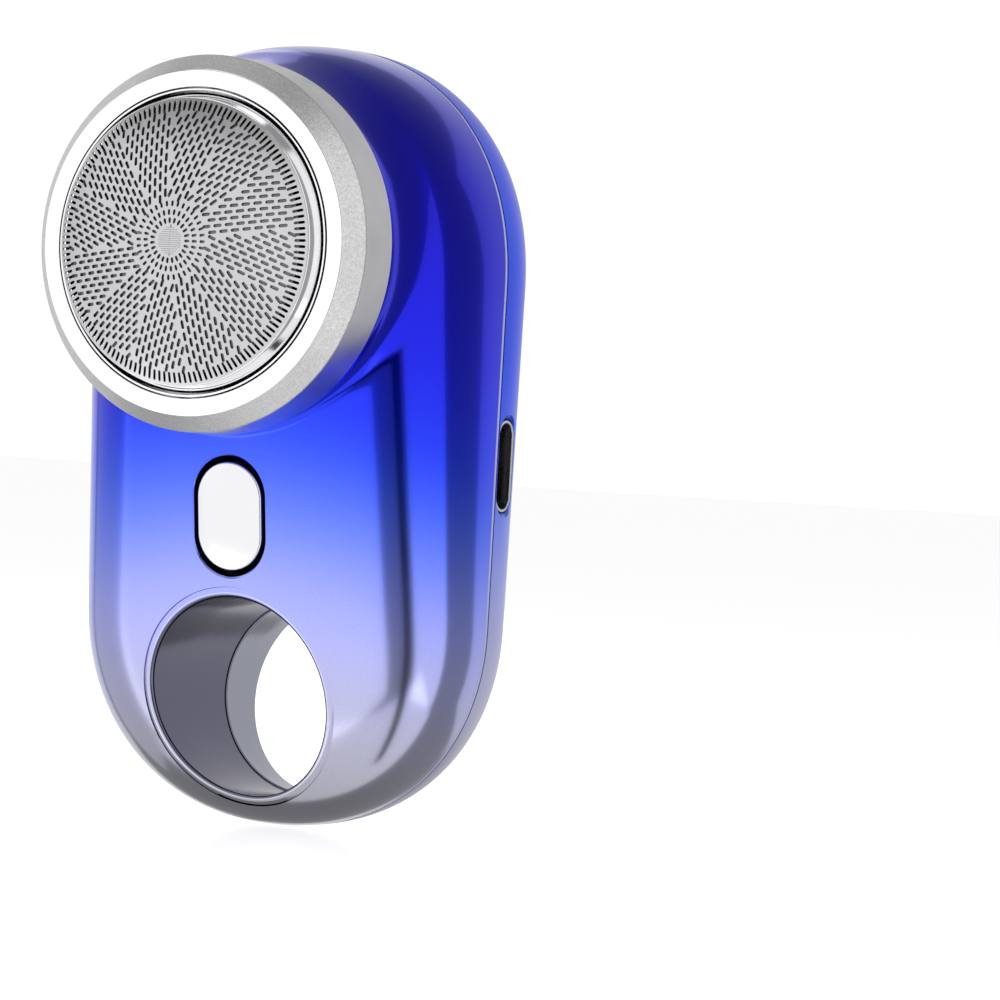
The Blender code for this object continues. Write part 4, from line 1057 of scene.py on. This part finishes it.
@dataclass
class ShavingHead:
    """The push-on head: ring, bezel line, slotted foil and the steel dome under it.

    Attributes:
        frame: the face frame.
        axis_y: height of the head's axis.
        face: height of the ring's front face.
        radius: outside of the ring.
        bore: inside of the ring's front.
        chamfer_width: how far the chamfer comes in from the side.
        chamfer_depth: how far it goes back from the face.
        side: length of the ring's side.
        spigot: outside of the spigot.
        spigot_bore: inside of the spigot.
        spigot_end: back of the spigot.
        shelf: seat of the foil.
        foil_radius: outside of the foil's skirt.
        shoulder: radius at which the dome turns down.
        crown: height of the dome's middle.
        dome: fall of the dome from its middle to its shoulder.
        sheet: thickness of the foil.
        rim_slots: slots in the outermost ring.
        inner_rings: (radius, slots) of the rings round the middle patch.
        patch: radius of the fine middle patch.
        row_pitch: distance between rows of slots.
        slot_pitch: distance between slots along a row.
        slot_width: width of a slot.
        slot_length: length of a slot.
        sectors: number of fans of rows.
        phase: angle of the first fan's edge.
    """

    frame: FaceFrame
    axis_y: float
    face: float = 23.7 * MM
    radius: float = 18.0 * MM
    bore: float = 14.8 * MM
    chamfer_width: float = 1.6 * MM
    chamfer_depth: float = 1.9 * MM
    side: float = 5.1 * MM
    spigot: float = 15.5 * MM
    spigot_bore: float = 13.6 * MM
    spigot_end: float = 13.71 * MM
    shelf: float = 20.6 * MM
    foil_radius: float = 14.3 * MM
    shoulder: float = 13.6 * MM
    crown: float = 27.7 * MM
    dome: float = 2.6 * MM
    sheet: float = 0.1 * MM
    rim_slots: int = 144
    inner_rings: tuple[tuple[float, int], ...] = ((1.9 * MM, 23), (2.68 * MM, 30), (3.5 * MM, 36))
    patch: float = 1.4 * MM
    row_pitch: float = 0.585 * MM
    slot_pitch: float = 1.14 * MM
    slot_width: float = 0.32 * MM
    slot_length: float = 0.86 * MM
    sectors: int = 12
    phase: float = math.radians(8.0)

    def place(self, outline: np.ndarray, steps: int = 320) -> np.ndarray:
        """Turn an outline about the head's axis, in the row frame."""
        return self.frame.place(turned(outline, (0.0, self.axis_y), steps))

    def dome_height(self, radius: np.ndarray) -> np.ndarray:
        """Height of the foil's outer face: crown - dome (r / shoulder)^2."""
        return self.crown - self.dome * (radius / self.shoulder) ** 2

    def build_ring(self) -> None:
        """Build the ring with its polished face, blasted chamfer and satin side."""
        corner, low = self.radius - self.chamfer_width, self.face - self.chamfer_depth
        back = low - self.side
        groove, groove_top, groove_end = self.spigot - 0.85 * MM, back - 1.2 * MM, back - 2.05 * MM
        crisp, soft = 0.05 * MM, 0.1 * MM
        outline = rounded([
            (self.bore, self.face, 0.07 * MM), (corner, self.face, soft), (self.radius, low, 0.12 * MM),
            (self.radius, back, 0.3 * MM), (self.spigot, back, soft), (self.spigot, groove_top, crisp),
            (groove, groove_top, crisp), (groove, groove_end, crisp), (self.spigot, groove_end, crisp),
            (self.spigot, self.spigot_end, 0.15 * MM), (self.spigot_bore, self.spigot_end, soft),
            (self.spigot_bore, self.shelf, crisp), (self.bore, self.shelf, crisp),
        ])
        mesh = grid_mesh("ring", self.place(outline), ring_rows=True)
        x, y, height = face_centres(mesh, self.frame)
        radius = np.hypot(x, y - self.axis_y)
        polished = (height > self.face - 0.06 * MM) | (radius < corner - 0.2 * MM) & (height > low)
        side = (height < low - 0.05 * MM) | (radius < self.bore + 0.3 * MM) & (height < low)
        # The band round the ring's rounded back edge wears the bright thin metal. It is a polished edge, and its
        # lighter colour is also painted highlight: the white line that the edge catches.
        edge = (np.abs(height - back) < 0.32 * MM) & (radius > self.radius - 0.5 * MM)
        number_faces(mesh, np.where(polished, 0, np.where(edge, 3, np.where(side, 2, 1))))
        add_piece("ring", mesh, [POLISHED, BLASTED, SATIN, BRIGHT], Body.HEAD, ("head_ring",))

        outer, inner = self.bore - 0.15 * MM, self.bore - 0.35 * MM
        top, low, edge = self.face + 0.04 * MM, self.shelf + 0.15 * MM, 0.07 * MM
        outline = rounded([(outer, top, edge), (outer, low, 0.0), (inner, low, 0.0), (inner, top, edge)])
        mesh = grid_mesh("bezel_line", self.place(outline), ring_rows=True)
        add_piece("bezel_line", mesh, [BRIGHT], Body.HEAD, ("foil_bezel",))

    def slot_centres(self) -> np.ndarray:
        """Lay out every slot as (x, y, direction, half length, half width).

        Each fan covers an equal angle. Its rows run along its clockwise edge, row_pitch apart, with slots
        slot_pitch apart that step back half a pitch from row to row. Rings of slots that point at the middle
        stand inside and outside the fans, and dots fill the middle.

        Returns:
            An N x 5 array.
        """
        fan = 2 * math.pi / self.sectors
        first, last = self.inner_rings[-1][0] + 0.55 * MM, self.shoulder - 1.42 * MM
        most_rows, most_steps = 40, 60
        row, step = np.meshgrid(np.arange(most_rows), np.arange(most_steps), indexing="ij")
        across = (row + 0.5) * self.row_pitch
        along = (step + 0.5 * (row % 2)) * self.slot_pitch
        radius, bearing = np.hypot(across, along), np.arctan2(across, along)
        keep = (radius > first) & (radius < last) & (bearing < fan - 0.16 * MM / radius.clip(1e-6))
        across, along = across[keep], along[keep]
        turn = self.phase + fan * np.arange(self.sectors)[:, None]
        x = along * np.cos(turn) - across * np.sin(turn)
        y = along * np.sin(turn) + across * np.cos(turn)
        half, width = (np.full_like(x, size / 2) for size in (self.slot_length, self.slot_width))
        table = [stack(x, y, np.broadcast_to(turn, x.shape), half, width)]
        rings = [(r, n, 0.28 * MM, 0.13 * MM) for r, n in self.inner_rings]
        rings.append((self.shoulder - 0.72 * MM, self.rim_slots, 0.52 * MM, 0.135 * MM))
        for r, n, length, width in rings:
            bearing = np.arange(n) * 2 * np.pi / n
            sizes = np.full(n, length), np.full(n, width)
            table.append(stack(r * np.cos(bearing), r * np.sin(bearing), bearing, *sizes))
        pitch, dot = 0.2 * MM, 0.045 * MM
        grid = (np.arange(13) - 6) * pitch
        x, y = (part.ravel() for part in np.meshgrid(grid, grid))
        x = x + 0.5 * pitch * (np.round(y / pitch) % 2)
        keep = np.hypot(x, y) < self.patch - 0.12 * MM
        dots = stack(x, y, 0 * x, 0 * x + dot, 0 * x + dot)[keep]
        return np.concatenate([part.reshape(-1, 5) for part in (*table, dots)], axis=0)

    def foil_mesh(self) -> Mesh:
        """Make the slotted dome: a flat sheet triangulated round every slot, lifted onto the dome.

        Each slot is a rounded bar of ten points. A constrained Delaunay triangulation fills the sheet between
        the slots, and the triangles inside the slots are left out.

        Returns:
            The dome's mesh, a single sheet whose thickness a modifier gives.
        """
        slots = self.slot_centres()
        turn = np.linspace(-np.pi / 2, np.pi / 2, 5)
        end = stack(np.ones_like(turn), np.cos(turn), np.sin(turn))
        unit = np.concatenate([end, -end])
        x, y, bearing, half, width = (slots[:, i, None] for i in range(5))
        along = unit[:, 0] * (half - width) + unit[:, 1] * width
        across = unit[:, 2] * width
        loops = stack(x + along * np.cos(bearing) - across * np.sin(bearing),
                      y + along * np.sin(bearing) + across * np.cos(bearing))
        rim_angle = round_angles(2 * self.rim_slots)
        rim = self.shoulder * stack(np.cos(rim_angle), np.sin(rim_angle))
        points = np.concatenate([loops.reshape(-1, 2), rim])
        count, corners = loops.shape[:2]
        faces = np.arange(count * corners).reshape(count, corners).tolist()
        ring = np.arange(len(rim)) + corners * count
        edges = stack(ring, np.roll(ring, -1))
        scale = 1.0 / MM
        made, _, triangles, _, _, owners = delaunay_2d_cdt(
            [Vector(p) for p in points * scale], edges.tolist(), faces, 0, 1e-5
        )
        kept = [face for face, owner in zip(triangles, owners) if not owner]
        flat = np.array([tuple(p) for p in made]) / scale
        height = self.dome_height(np.hypot(flat[:, 0], flat[:, 1]))
        sheet = stack(flat[:, 0], self.axis_y + flat[:, 1], height)
        mesh = bpy.data.meshes.new("foil")
        mesh.from_pydata(self.frame.place(sheet), [], [tuple(face) for face in kept])
        work = bmesh.new()
        work.from_mesh(mesh)
        loose = [point for point in work.verts if not point.link_faces]
        bmesh.ops.delete(work, geom=loose, context="VERTS")
        work.normal_update()
        wrong = [face for face in work.faces if face.normal.y > 0]
        bmesh.ops.reverse_faces(work, faces=wrong)
        for face in work.faces:
            face.smooth = True
        for side in work.edges:
            side.smooth = not side.is_boundary
        work.to_mesh(mesh)
        work.free()
        LOG.info("foil has %d slots", count)
        return mesh

    def build_foil(self) -> None:
        """Build the slotted dome, its polished skirt and the steel dome that lies under the slots."""
        foil = add_piece("foil", self.foil_mesh(), [FOIL_STEEL], Body.HEAD, ("shaving_foil",))
        wall = foil.modifiers.new("sheet", "SOLIDIFY")
        wall.thickness, wall.offset = self.sheet, -1.0
        edge = float(self.dome_height(np.array(self.shoulder)))
        low, tuck = self.shelf + 0.15 * MM, self.shoulder - 0.4 * MM
        inner, soft = self.foil_radius - 0.35 * MM, 0.1 * MM
        outline = rounded([
            (self.shoulder - 0.03 * MM, edge, 0.03 * MM), (self.shoulder + 0.1 * MM, edge - 0.06 * MM, 0.08 * MM),
            (self.foil_radius - 0.05 * MM, self.face - 0.1 * MM, soft), (self.foil_radius, low, 0.0),
            (inner, low, 0.0), (inner, self.face - 0.4 * MM, soft), (tuck, edge - 0.4 * MM, soft),
            (tuck, edge - 0.12 * MM, 0.02 * MM),
        ])
        mesh = grid_mesh("foil_skirt", self.place(outline), ring_rows=True)
        add_piece("foil_skirt", mesh, [BRIGHT], Body.HEAD)
        # The dome under the slots wears the darker steel, which paints the shade beneath the foil.
        radius, gap, thick = np.linspace(0.0, self.shoulder - 0.9 * MM, 28), 0.14 * MM, 0.08 * MM
        top = self.dome_height(radius) - self.sheet - gap
        outline = np.concatenate([stack(radius, top), stack(radius, top - thick)[::-1]])
        mesh = grid_mesh("foil_support", self.place(outline, 160))
        add_piece("foil_support", mesh, [SHADED_FOIL_UNDER], Body.HEAD)

    def build(self) -> None:
        """Build the whole head."""
        self.build_ring()
        self.build_foil()


@dataclass
class ReturnSpring:
    """The coil spring that holds the cutter up against the foil.

    Attributes:
        axis_z: row height of the head's axis.
        wire: radius of the wire.
        turns: turns of the coil.
        travel: how far the cutter can be pressed in.
    """

    axis_z: float
    wire: float = 0.3 * MM
    # travel: how far the cutter can be pressed in; not used.
    turns: float = 4.5
    travel: float = 0.8 * MM

    def build(self) -> None:
        """Wind the coil (r cos a, y, r sin a), with y rising evenly with a, and carry a round wire along it."""
        low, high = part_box("cutter_spring")
        radius, front, back = high[0] - self.wire, low[1], high[1]
        angle = np.linspace(0.0, 2 * np.pi * self.turns, int(36 * self.turns))[:, None]
        rise = np.linspace(front + self.wire, back - self.wire, len(angle))[:, None]
        around = round_angles(16)
        wire = np.concatenate([[0.0], np.full(len(angle), self.wire), [0.0]])[:, None]
        angle, rise = (np.concatenate([part[:1], part, part[-1:]]) for part in (angle, rise))
        reach = radius + wire * np.cos(around)
        across, height = reach * np.cos(angle), self.axis_z + reach * np.sin(angle)
        mesh = grid_mesh("return_spring", stack(across, rise + wire * np.sin(around), height))
        spring = add_piece("return_spring", mesh, [STEEL], Body.CUTTER, ("cutter_spring",))
        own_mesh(spring)


@dataclass
class PowerButton:
    """The power button: a pearl stadium with a crowned face.

    Attributes:
        frame: the face frame.
        centre_y: height of its middle.
        form: the body's form.
        half_width: of the cap.
        half_height: of the cap.
        play: gap to the recess.
        chamfer: width of the recess's chamfer.
        crown: how far the cap's middle stands over the face.
    """

    frame: FaceFrame
    centre_y: float
    form: BodyForm
    half_width: float = 3.57 * MM
    half_height: float = 5.29 * MM
    play: float = 0.4 * MM
    chamfer: float = 0.16 * MM
    crown: float = 0.55 * MM

    def place(self, points: np.ndarray) -> np.ndarray:
        """Set points of the button's own frame on the sloping face.

        Args:
            points: x, y along the face and z out of it, from the button's middle.

        Returns:
            The points in the row frame, turned about X by the face's slope.
        """
        tilt = math.atan(self.form.front_slope)
        across, up, out = np.moveaxis(points, -1, 0)
        base = self.form.front + self.form.front_slope * self.centre_y
        turned_up = self.centre_y + up * math.cos(tilt) - out * math.sin(tilt)
        turned_out = base + up * math.sin(tilt) + out * math.cos(tilt)
        return self.frame.place(stack(across, turned_up, turned_out))

    def build(self) -> None:
        """Build the cap: a quarter-round edge, then a crown that rises as 1 - (1 - s)^2.2 to the middle."""
        edge, foot = 0.32 * MM, -2.8 * MM
        turn = np.linspace(0.0, np.pi / 2, 9)
        side = np.array([(self.half_width * 0.9, foot), (0.0, foot), (0.0, -edge - 0.2 * MM)])
        quarter = stack(edge * (1 - np.cos(turn)), edge * (np.sin(turn) - 1))
        s = np.linspace(0.0, 1.0, 22)[1:]
        crown = stack(edge + (self.half_width - edge) * s, self.crown * (1 - (1 - s) ** 2.2))
        rings = stadium_rings(self.half_width, self.half_height, np.concatenate([side, quarter, crown]))
        mesh = grid_mesh("button_face", self.place(self.cap_ends(rings)))
        work = bmesh.new()
        work.from_mesh(mesh)
        bmesh.ops.holes_fill(work, edges=[e for e in work.edges if e.is_boundary], sides=0)
        bmesh.ops.recalc_face_normals(work, faces=work.faces)
        work.to_mesh(mesh)
        work.free()
        mesh.set_sharp_from_angle(angle=math.radians(50.0))
        add_piece("button_face", mesh, [PEARL], Body.BUTTON, ("button_cap",))

    def cap_ends(self, rings: np.ndarray) -> np.ndarray:
        """Round it the long way too: its height falls towards both ends as the square of the way along."""
        across, up, out = np.moveaxis(rings, -1, 0)
        spine = np.clip(np.abs(up) / self.half_height, 0.0, 1.0)
        return stack(across, up, np.where(out > 0, out * (1 - 0.35 * spine**2), out))


@dataclass
class Display:
    """The rear display: a thin bright rim, a black lens and lit digits.

    Attributes:
        frame: the face frame.
        axis_y: height of its axis.
        radius: of the rim.
        rim: width of the rim.
        back: z of the rim's rear face.
        digit_height: of a digit.
        digit_width: of a digit.
        pitch: from digit to digit.
        stroke: width of a segment.
        slant: lean of the digits.
    """

    frame: FaceFrame
    axis_y: float
    radius: float = 8.55 * MM
    rim: float = 0.3 * MM
    back: float = -12.348 * MM
    digit_height: float = 4.7 * MM
    digit_width: float = 3.3 * MM
    pitch: float = 4.6 * MM
    stroke: float = 0.7 * MM
    slant: float = 0.1

    def place(self, outline: np.ndarray) -> np.ndarray:
        """Turn an outline about the display's axis, in the row frame."""
        return self.frame.place(turned(outline, (0.0, self.axis_y), 256))

    def segments(self, digit: int) -> list[list[tuple[float, float]]]:
        """The lit segments of a 0 or a 1, each a six-sided bar with mitred ends.

        Args:
            digit: 0 or 1.

        Returns:
            The outlines, about the digit's middle, seen from behind the shaver.
        """
        w, h, s, g = self.digit_width / 2, self.digit_height / 2, self.stroke, 0.07 * MM
        upright = [(w, g), (w, h - g), (w - s, h - s - g), (w - s, s / 2 + g), (w - s / 2, g)]
        level = [(-w + g, h), (w - g, h), (w - s - g, h - s), (-w + s + g, h - s)]
        bars = [upright, [(x, -y) for x, y in upright]]
        if digit == 0:
            bars += [[(-x, y) for x, y in bar] for bar in bars]
            bars += [level, [(x, -y) for x, y in level]]
        return bars

    def build_digits(self) -> None:
        """Build 1, 0 and 0 as thin lit bars that lean with height, on the glass."""
        work = bmesh.new()
        top, thick, aside = self.back + 0.02 * MM, 0.05 * MM, 0.35 * MM
        for place, digit in enumerate((1, 0, 0)):
            for bar in self.segments(digit):
                shift = (place - 1) * self.pitch - aside
                flat = [(x + shift + self.slant * y, y) for x, y in bar]
                rings = np.array([[(-x, self.axis_y + y, z) for x, y in flat] for z in (top, top + thick)])
                front, rear = ([work.verts.new(p) for p in ring] for ring in self.frame.place(rings))
                work.faces.new(front)
                work.faces.new(rear[::-1])
                for i in range(len(flat)):
                    j = (i + 1) % len(flat)
                    work.faces.new((front[i], rear[i], rear[j], front[j]))
        bmesh.ops.recalc_face_normals(work, faces=work.faces)
        mesh = bpy.data.meshes.new("display_digits")
        work.to_mesh(mesh)
        work.free()
        add_piece("display_digits", mesh, [DIGIT_LIGHT], Body.SHELL)

    def build(self) -> None:
        """Build the rim, the lens and the digits."""
        inner, front = self.radius - self.rim, self.back + 2.2 * MM
        outline = rounded([(self.radius, self.back, 0.1 * MM), (self.radius, front, 0.0), (inner, front, 0.0),
                           (inner, self.back, 0.06 * MM)])
        mesh = grid_mesh("display_ring", self.place(outline), ring_rows=True)
        add_piece("display_ring", mesh, [BRIGHT], Body.SHELL, ("display_rim",))
        face, edge = self.back + 0.05 * MM, inner - 0.03 * MM
        turn = np.linspace(0.0, np.pi / 2, 8)
        soft, inside = 0.3 * MM, face + 1.0 * MM
        arc = stack(edge - soft * (1 - np.cos(turn)), face + soft * (1 - np.sin(turn)))
        outline = np.concatenate([[(0.0, inside), (edge, inside)], arc, [(edge * 0.5, face), (0.0, face)]])
        mesh = grid_mesh("display_window", self.place(outline))
        mesh.set_sharp_from_angle(angle=math.radians(50.0))
        add_piece("display_window", mesh, [BLACK_GLASS], Body.SHELL, ("display_lens",))
        self.build_digits()


@dataclass
class ChargingPort:
    """The charging socket in the side: a drawn metal shell with a contact tongue.

    Attributes:
        frame: the face frame.
        centre_y: height of its middle.
        centre_z: its middle, before or behind the seam.
        mouth: x of the socket's mouth.
        side: x at which the slot in the shell is flared.
        half_width: half the long side.
        half_thickness: half the short side.
        play: gap to the slot in the shell.
        wall: of the metal shell.
        depth: of the socket.
    """

    frame: FaceFrame
    centre_y: float
    centre_z: float
    mouth: float = 20.8 * MM
    side: float = 20.75 * MM
    half_width: float = 4.47 * MM
    half_thickness: float = 1.58 * MM
    play: float = 0.12 * MM
    wall: float = 0.3 * MM
    depth: float = 6.6 * MM

    def place(self, points: np.ndarray, x: float) -> np.ndarray:
        """Stand points of a plane across the socket at a distance x, with their z out of the side.

        Args:
            points: (thickness, width, out) of the socket's own frame.
            x: where their plane stands.

        Returns:
            The points in the row frame.
        """
        thick, wide, out = np.moveaxis(points, -1, 0)
        return self.frame.place(stack(x + out, self.centre_y + wide, self.centre_z - thick))

    def build(self) -> None:
        """Build the drawn shell, the tongue and its contacts."""
        w, d, lip, core = self.wall, self.depth, 0.1 * MM, self.half_thickness * 0.98
        outline = rounded([(0.0, 0.0, lip), (0.0, -d, 0.0), (core, -d, 0.0), (core, -d + w, 0.0),
                           (w, -d + w, 0.0), (w, 0.0, lip)])
        rings = stadium_rings(self.half_thickness, self.half_width, outline, 96)
        mesh = grid_mesh("socket_shell", self.place(rings, self.mouth), ring_rows=True)
        add_piece("socket_shell", mesh, [STEEL], Body.SHELL, ("usb_socket",))
        half, thick, tip = 3.35 * MM, 0.35 * MM, self.mouth - 1.2 * MM
        core, root = thick * 0.96, -d + 2.4 * MM
        outline = rounded([(core, 0.0, 0.0), (0.0, 0.0, 0.15 * MM), (0.0, root, 0.0), (core, root, 0.0)])
        rings = stadium_rings(thick, half, outline, 48)
        mesh = grid_mesh("socket_tongue", self.place(rings, tip), ring_rows=True)
        add_piece("socket_tongue", mesh, [BLACK_MOULDED], Body.SHELL, ("usb_tongue",))
        work = bmesh.new()
        contacts, pitch, inset = 12, 0.5 * MM, 1.4 * MM
        size = Matrix.Diagonal((2.2 * MM, 0.03 * MM, 0.26 * MM, 1.0))
        for face in (-1, 1):
            for index in range(contacts):
                wide = (index - (contacts - 1) / 2) * pitch
                at = self.place(np.array([face * thick, wide, -inset]), tip)
                bmesh.ops.create_cube(work, size=1.0, matrix=Matrix.Translation(Vector(at)) @ size)
        mesh = bpy.data.meshes.new("socket_contacts")
        work.to_mesh(mesh)
        work.free()
        add_piece("socket_contacts", mesh, [GOLD], Body.SHELL)


@dataclass(frozen=True)
class Sheet:
    """A flat rectangle that faces the target: a soft box, or a card that reflections see.

    Attributes:
        name: its name.
        azimuth: its bearing, in degrees.
        elevation: its height, in degrees.
        away: its distance.
        size: its width and height.
        power: a soft box's, in watts.
    """

    name: str
    azimuth: float
    elevation: float
    away: float
    size: Place
    power: float = 0.0


SOFT_BOXES = (
    Sheet("front soft box", -22.0, -8.0, 0.8, (1.7, 1.3), 6.4),
    Sheet("left soft box", -86.0, 0.0, 0.8, (0.6, 1.3), 0.9),
    Sheet("side soft box", 74.0, 12.0, 0.8, (0.66, 1.9), 3.1),
    Sheet("low soft box", 5.0, -66.0, 0.9, (2.4, 0.8), 4.6),
    Sheet("rear soft box", 176.0, 4.0, 0.8, (1.3, 1.1), 2.2),
    Sheet("rear left soft box", -128.0, 8.0, 0.8, (0.5, 1.1), 0.9),
    Sheet("top soft box", -40.0, 64.0, 0.9, (0.7, 0.3), 0.7),
)
DARK_FLAG = Sheet("dark flag", 46.0, -14.0, 0.5, (0.062, 1.4))


@dataclass
class Studio:
    """The pale floor, the soft light, the dark flag and the camera.

    Attributes:
        target: the body's middle, in the row frame.
        azimuth: direction that the camera looks along, from +Y.
        elevation: of the camera over the horizon.
        roll: turn of the camera about its sight line.
        distance: from the camera to the target.
        lens: focal length on a 36 mm sensor.
        aim: direction of the target in the camera's axes.
        floor_half: half the floor's side.
        floor_glow: light that the floor gives off.
        surround_seen: brightness of the surround as the camera sees it.
        surround_light: brightness that falls on the pieces and shows in them.
    """

    target: Vector
    azimuth: float = math.radians(30.2)
    elevation: float = math.radians(-0.03)
    roll: float = math.radians(3.27)
    distance: float = 0.667
    lens: float = 245.4
    aim: Corner = (-0.0284, 0.00933, -1.0)
    floor_half: float = 6.0
    floor_glow: float = 0.62
    surround_seen: float = 1.05
    surround_light: float = 0.36

    def camera(self) -> None:
        """Set the camera's axes from its angles, then turn it until the target lies along its aim."""
        sight = Vector((
            -math.sin(self.azimuth) * math.cos(self.elevation),
            math.cos(self.azimuth) * math.cos(self.elevation),
            -math.sin(self.elevation),
        ))
        right = Vector((math.cos(self.azimuth), math.sin(self.azimuth), 0.0))
        up = right.cross(sight)
        rolled_right = right * math.cos(self.roll) + up * math.sin(self.roll)
        rolled_up = up * math.cos(self.roll) - right * math.sin(self.roll)
        axes = Matrix((rolled_right, rolled_up, -sight)).transposed()
        pan = Vector(self.aim).normalized().rotation_difference(Vector((0.0, 0.0, -1.0))).to_matrix()
        data = bpy.data.cameras.new("camera")
        data.lens, data.sensor_width, data.clip_start, data.clip_end = self.lens, 36.0, 0.01, 50.0
        camera = bpy.data.objects.new("camera", data)
        bpy.context.scene.collection.objects.link(camera)
        camera.matrix_world = Matrix.Translation(self.target - sight * self.distance) @ (axes @ pan).to_4x4()
        bpy.context.scene.camera = camera

    def hang(self, thing: bpy.types.Object, sheet: Sheet) -> None:
        """Put a thing at its sheet's bearing, 0 in front of the head and 90 beyond its socket side.

        Args:
            thing: the lamp or card, which turns to face the target.
            sheet: its place.
        """
        bpy.context.scene.collection.objects.link(thing)
        a, e = math.radians(sheet.azimuth), math.radians(sheet.elevation)
        ray = Vector((math.sin(a) * math.cos(e), -math.cos(a) * math.cos(e), math.sin(e)))
        thing.location = self.target + ray * sheet.away
        thing.rotation_euler = ray.to_track_quat("Z", "Y").to_euler()
        thing.visible_camera = False

    def light(self, box: Sheet) -> None:
        """Hang a soft box."""
        data = bpy.data.lights.new(box.name, "AREA")
        data.shape, data.size, data.size_y, data.energy = "RECTANGLE", *box.size, box.power
        self.hang(bpy.data.objects.new(box.name, data), box)

    def plane(self, name: str, size: Place, material: bpy.types.Material) -> bpy.types.Object:
        """Make a flat rectangle about its own middle."""
        mesh = bpy.data.meshes.new(name)
        w, h = size[0] / 2, size[1] / 2
        mesh.from_pydata([(-w, -h, 0), (w, -h, 0), (w, h, 0), (-w, h, 0)], [], [(0, 1, 2, 3)])
        mesh.materials.append(material)
        return bpy.data.objects.new(name, mesh)

    def card(self, sheet: Sheet) -> None:
        """Hang a matt black card that only reflections see."""
        matt = Finish("matt black", (0.0, 0.0, 0.0), 0.9, wander=0.0).material()
        card = self.plane(sheet.name, sheet.size, matt)
        self.hang(card, sheet)
        card.visible_shadow = False
        card.visible_diffuse = False

    def floor(self) -> None:
        """Lay the pale floor. It glows, so that it stays white beside the pieces, and they don't mirror it."""
        sketch = NodeSketch("pale floor")
        sketch.feed(sketch.shader, {
            "Base Color": (0.9, 0.9, 0.9), "Roughness": 0.12, "IOR": 1.12,
            "Emission Color": (1.0, 1.0, 1.0), "Emission Strength": self.floor_glow,
        })
        side = 2 * self.floor_half
        floor = self.plane("floor", (side, side), sketch.material)
        floor.location.z = -0.02 * MM
        floor.visible_glossy = False
        bpy.context.scene.collection.objects.link(floor)

    def sky(self) -> None:
        """Stand everything in a white surround that looks brighter than it lights."""
        world = bpy.data.worlds.new("surround")
        world.use_nodes = True
        tree = world.node_tree
        path = tree.nodes.new("ShaderNodeLightPath")
        power = tree.nodes.new("ShaderNodeMapRange")
        power.inputs["To Min"].default_value = self.surround_light
        power.inputs["To Max"].default_value = self.surround_seen
        tree.links.new(path.outputs["Is Camera Ray"], power.inputs["Value"])
        shade = tree.nodes["Background"]
        shade.inputs["Color"].default_value = (1.0, 1.0, 1.0, 1.0)
        tree.links.new(power.outputs[0], shade.inputs["Strength"])
        bpy.context.scene.world = world

    def build(self) -> None:
        """Set up the camera, the floor, the surround, the soft boxes and the dark flag."""
        self.camera()
        self.floor()
        self.sky()
        bpy.context.scene.view_settings.view_transform = "Standard"
        for box in SOFT_BOXES:
            self.light(box)
        self.card(DARK_FLAG)


def dress_nodes(frame: dict) -> None:
    """Give every CAD node that still shows the finish of its slot.
    """
    slots = {part["node"]: part["material_slot"] for part in frame["record"]["subparts"]}
    for name, node in frame["nodes"].items():
        finish = SLOT_FINISHES[slots[name]].material()
        node.data.materials.clear()
        node.data.materials.append(finish)
        LOG.info("%s wears %s", name, finish.name)


def middle(node: str) -> Vector:
    """Middle of a CAD node's box."""
    low, high = (Vector(corner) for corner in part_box(node))
    return (low + high) / 2


def main() -> None:
    """Load the frame, build each sub-assembly in turn and set up the studio.

    The head, the finger hole and the display stand where the frame's nodes do. The button stands halfway between
    the ring and the finger hole.
    """
    logging.basicConfig(level=logging.INFO, format="%(message)s")
    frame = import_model()
    face = FaceFrame(seam_y=middle("seam_gasket").y, middle_z=38.0 * MM)
    form = BodyForm()
    head_y, finger_y, display_y = (
        middle(node).z - face.middle_z for node in ("head_ring", "finger_sleeve_band", "display_rim")
    )
    head, liner = ShavingHead(face, head_y), FingerLiner(face, form, finger_y)
    button = PowerButton(face, (head_y - head.radius + finger_y + liner.radius) / 2, form)
    socket = middle("usb_socket")
    port = ChargingPort(face, socket.z - face.middle_z, face.seam_y - socket.y)
    dress_nodes(frame)
    Shells(face, form, head_y, finger_y, display_y).build(button, port)
    liner.build()
    head.build()
    ReturnSpring(face.middle_z + head_y).build()
    button.build()
    Display(face, display_y).build()
    port.build()
    Studio(Vector((0.0, face.seam_y, face.middle_z))).build()


if __name__ == "__main__":
    main()
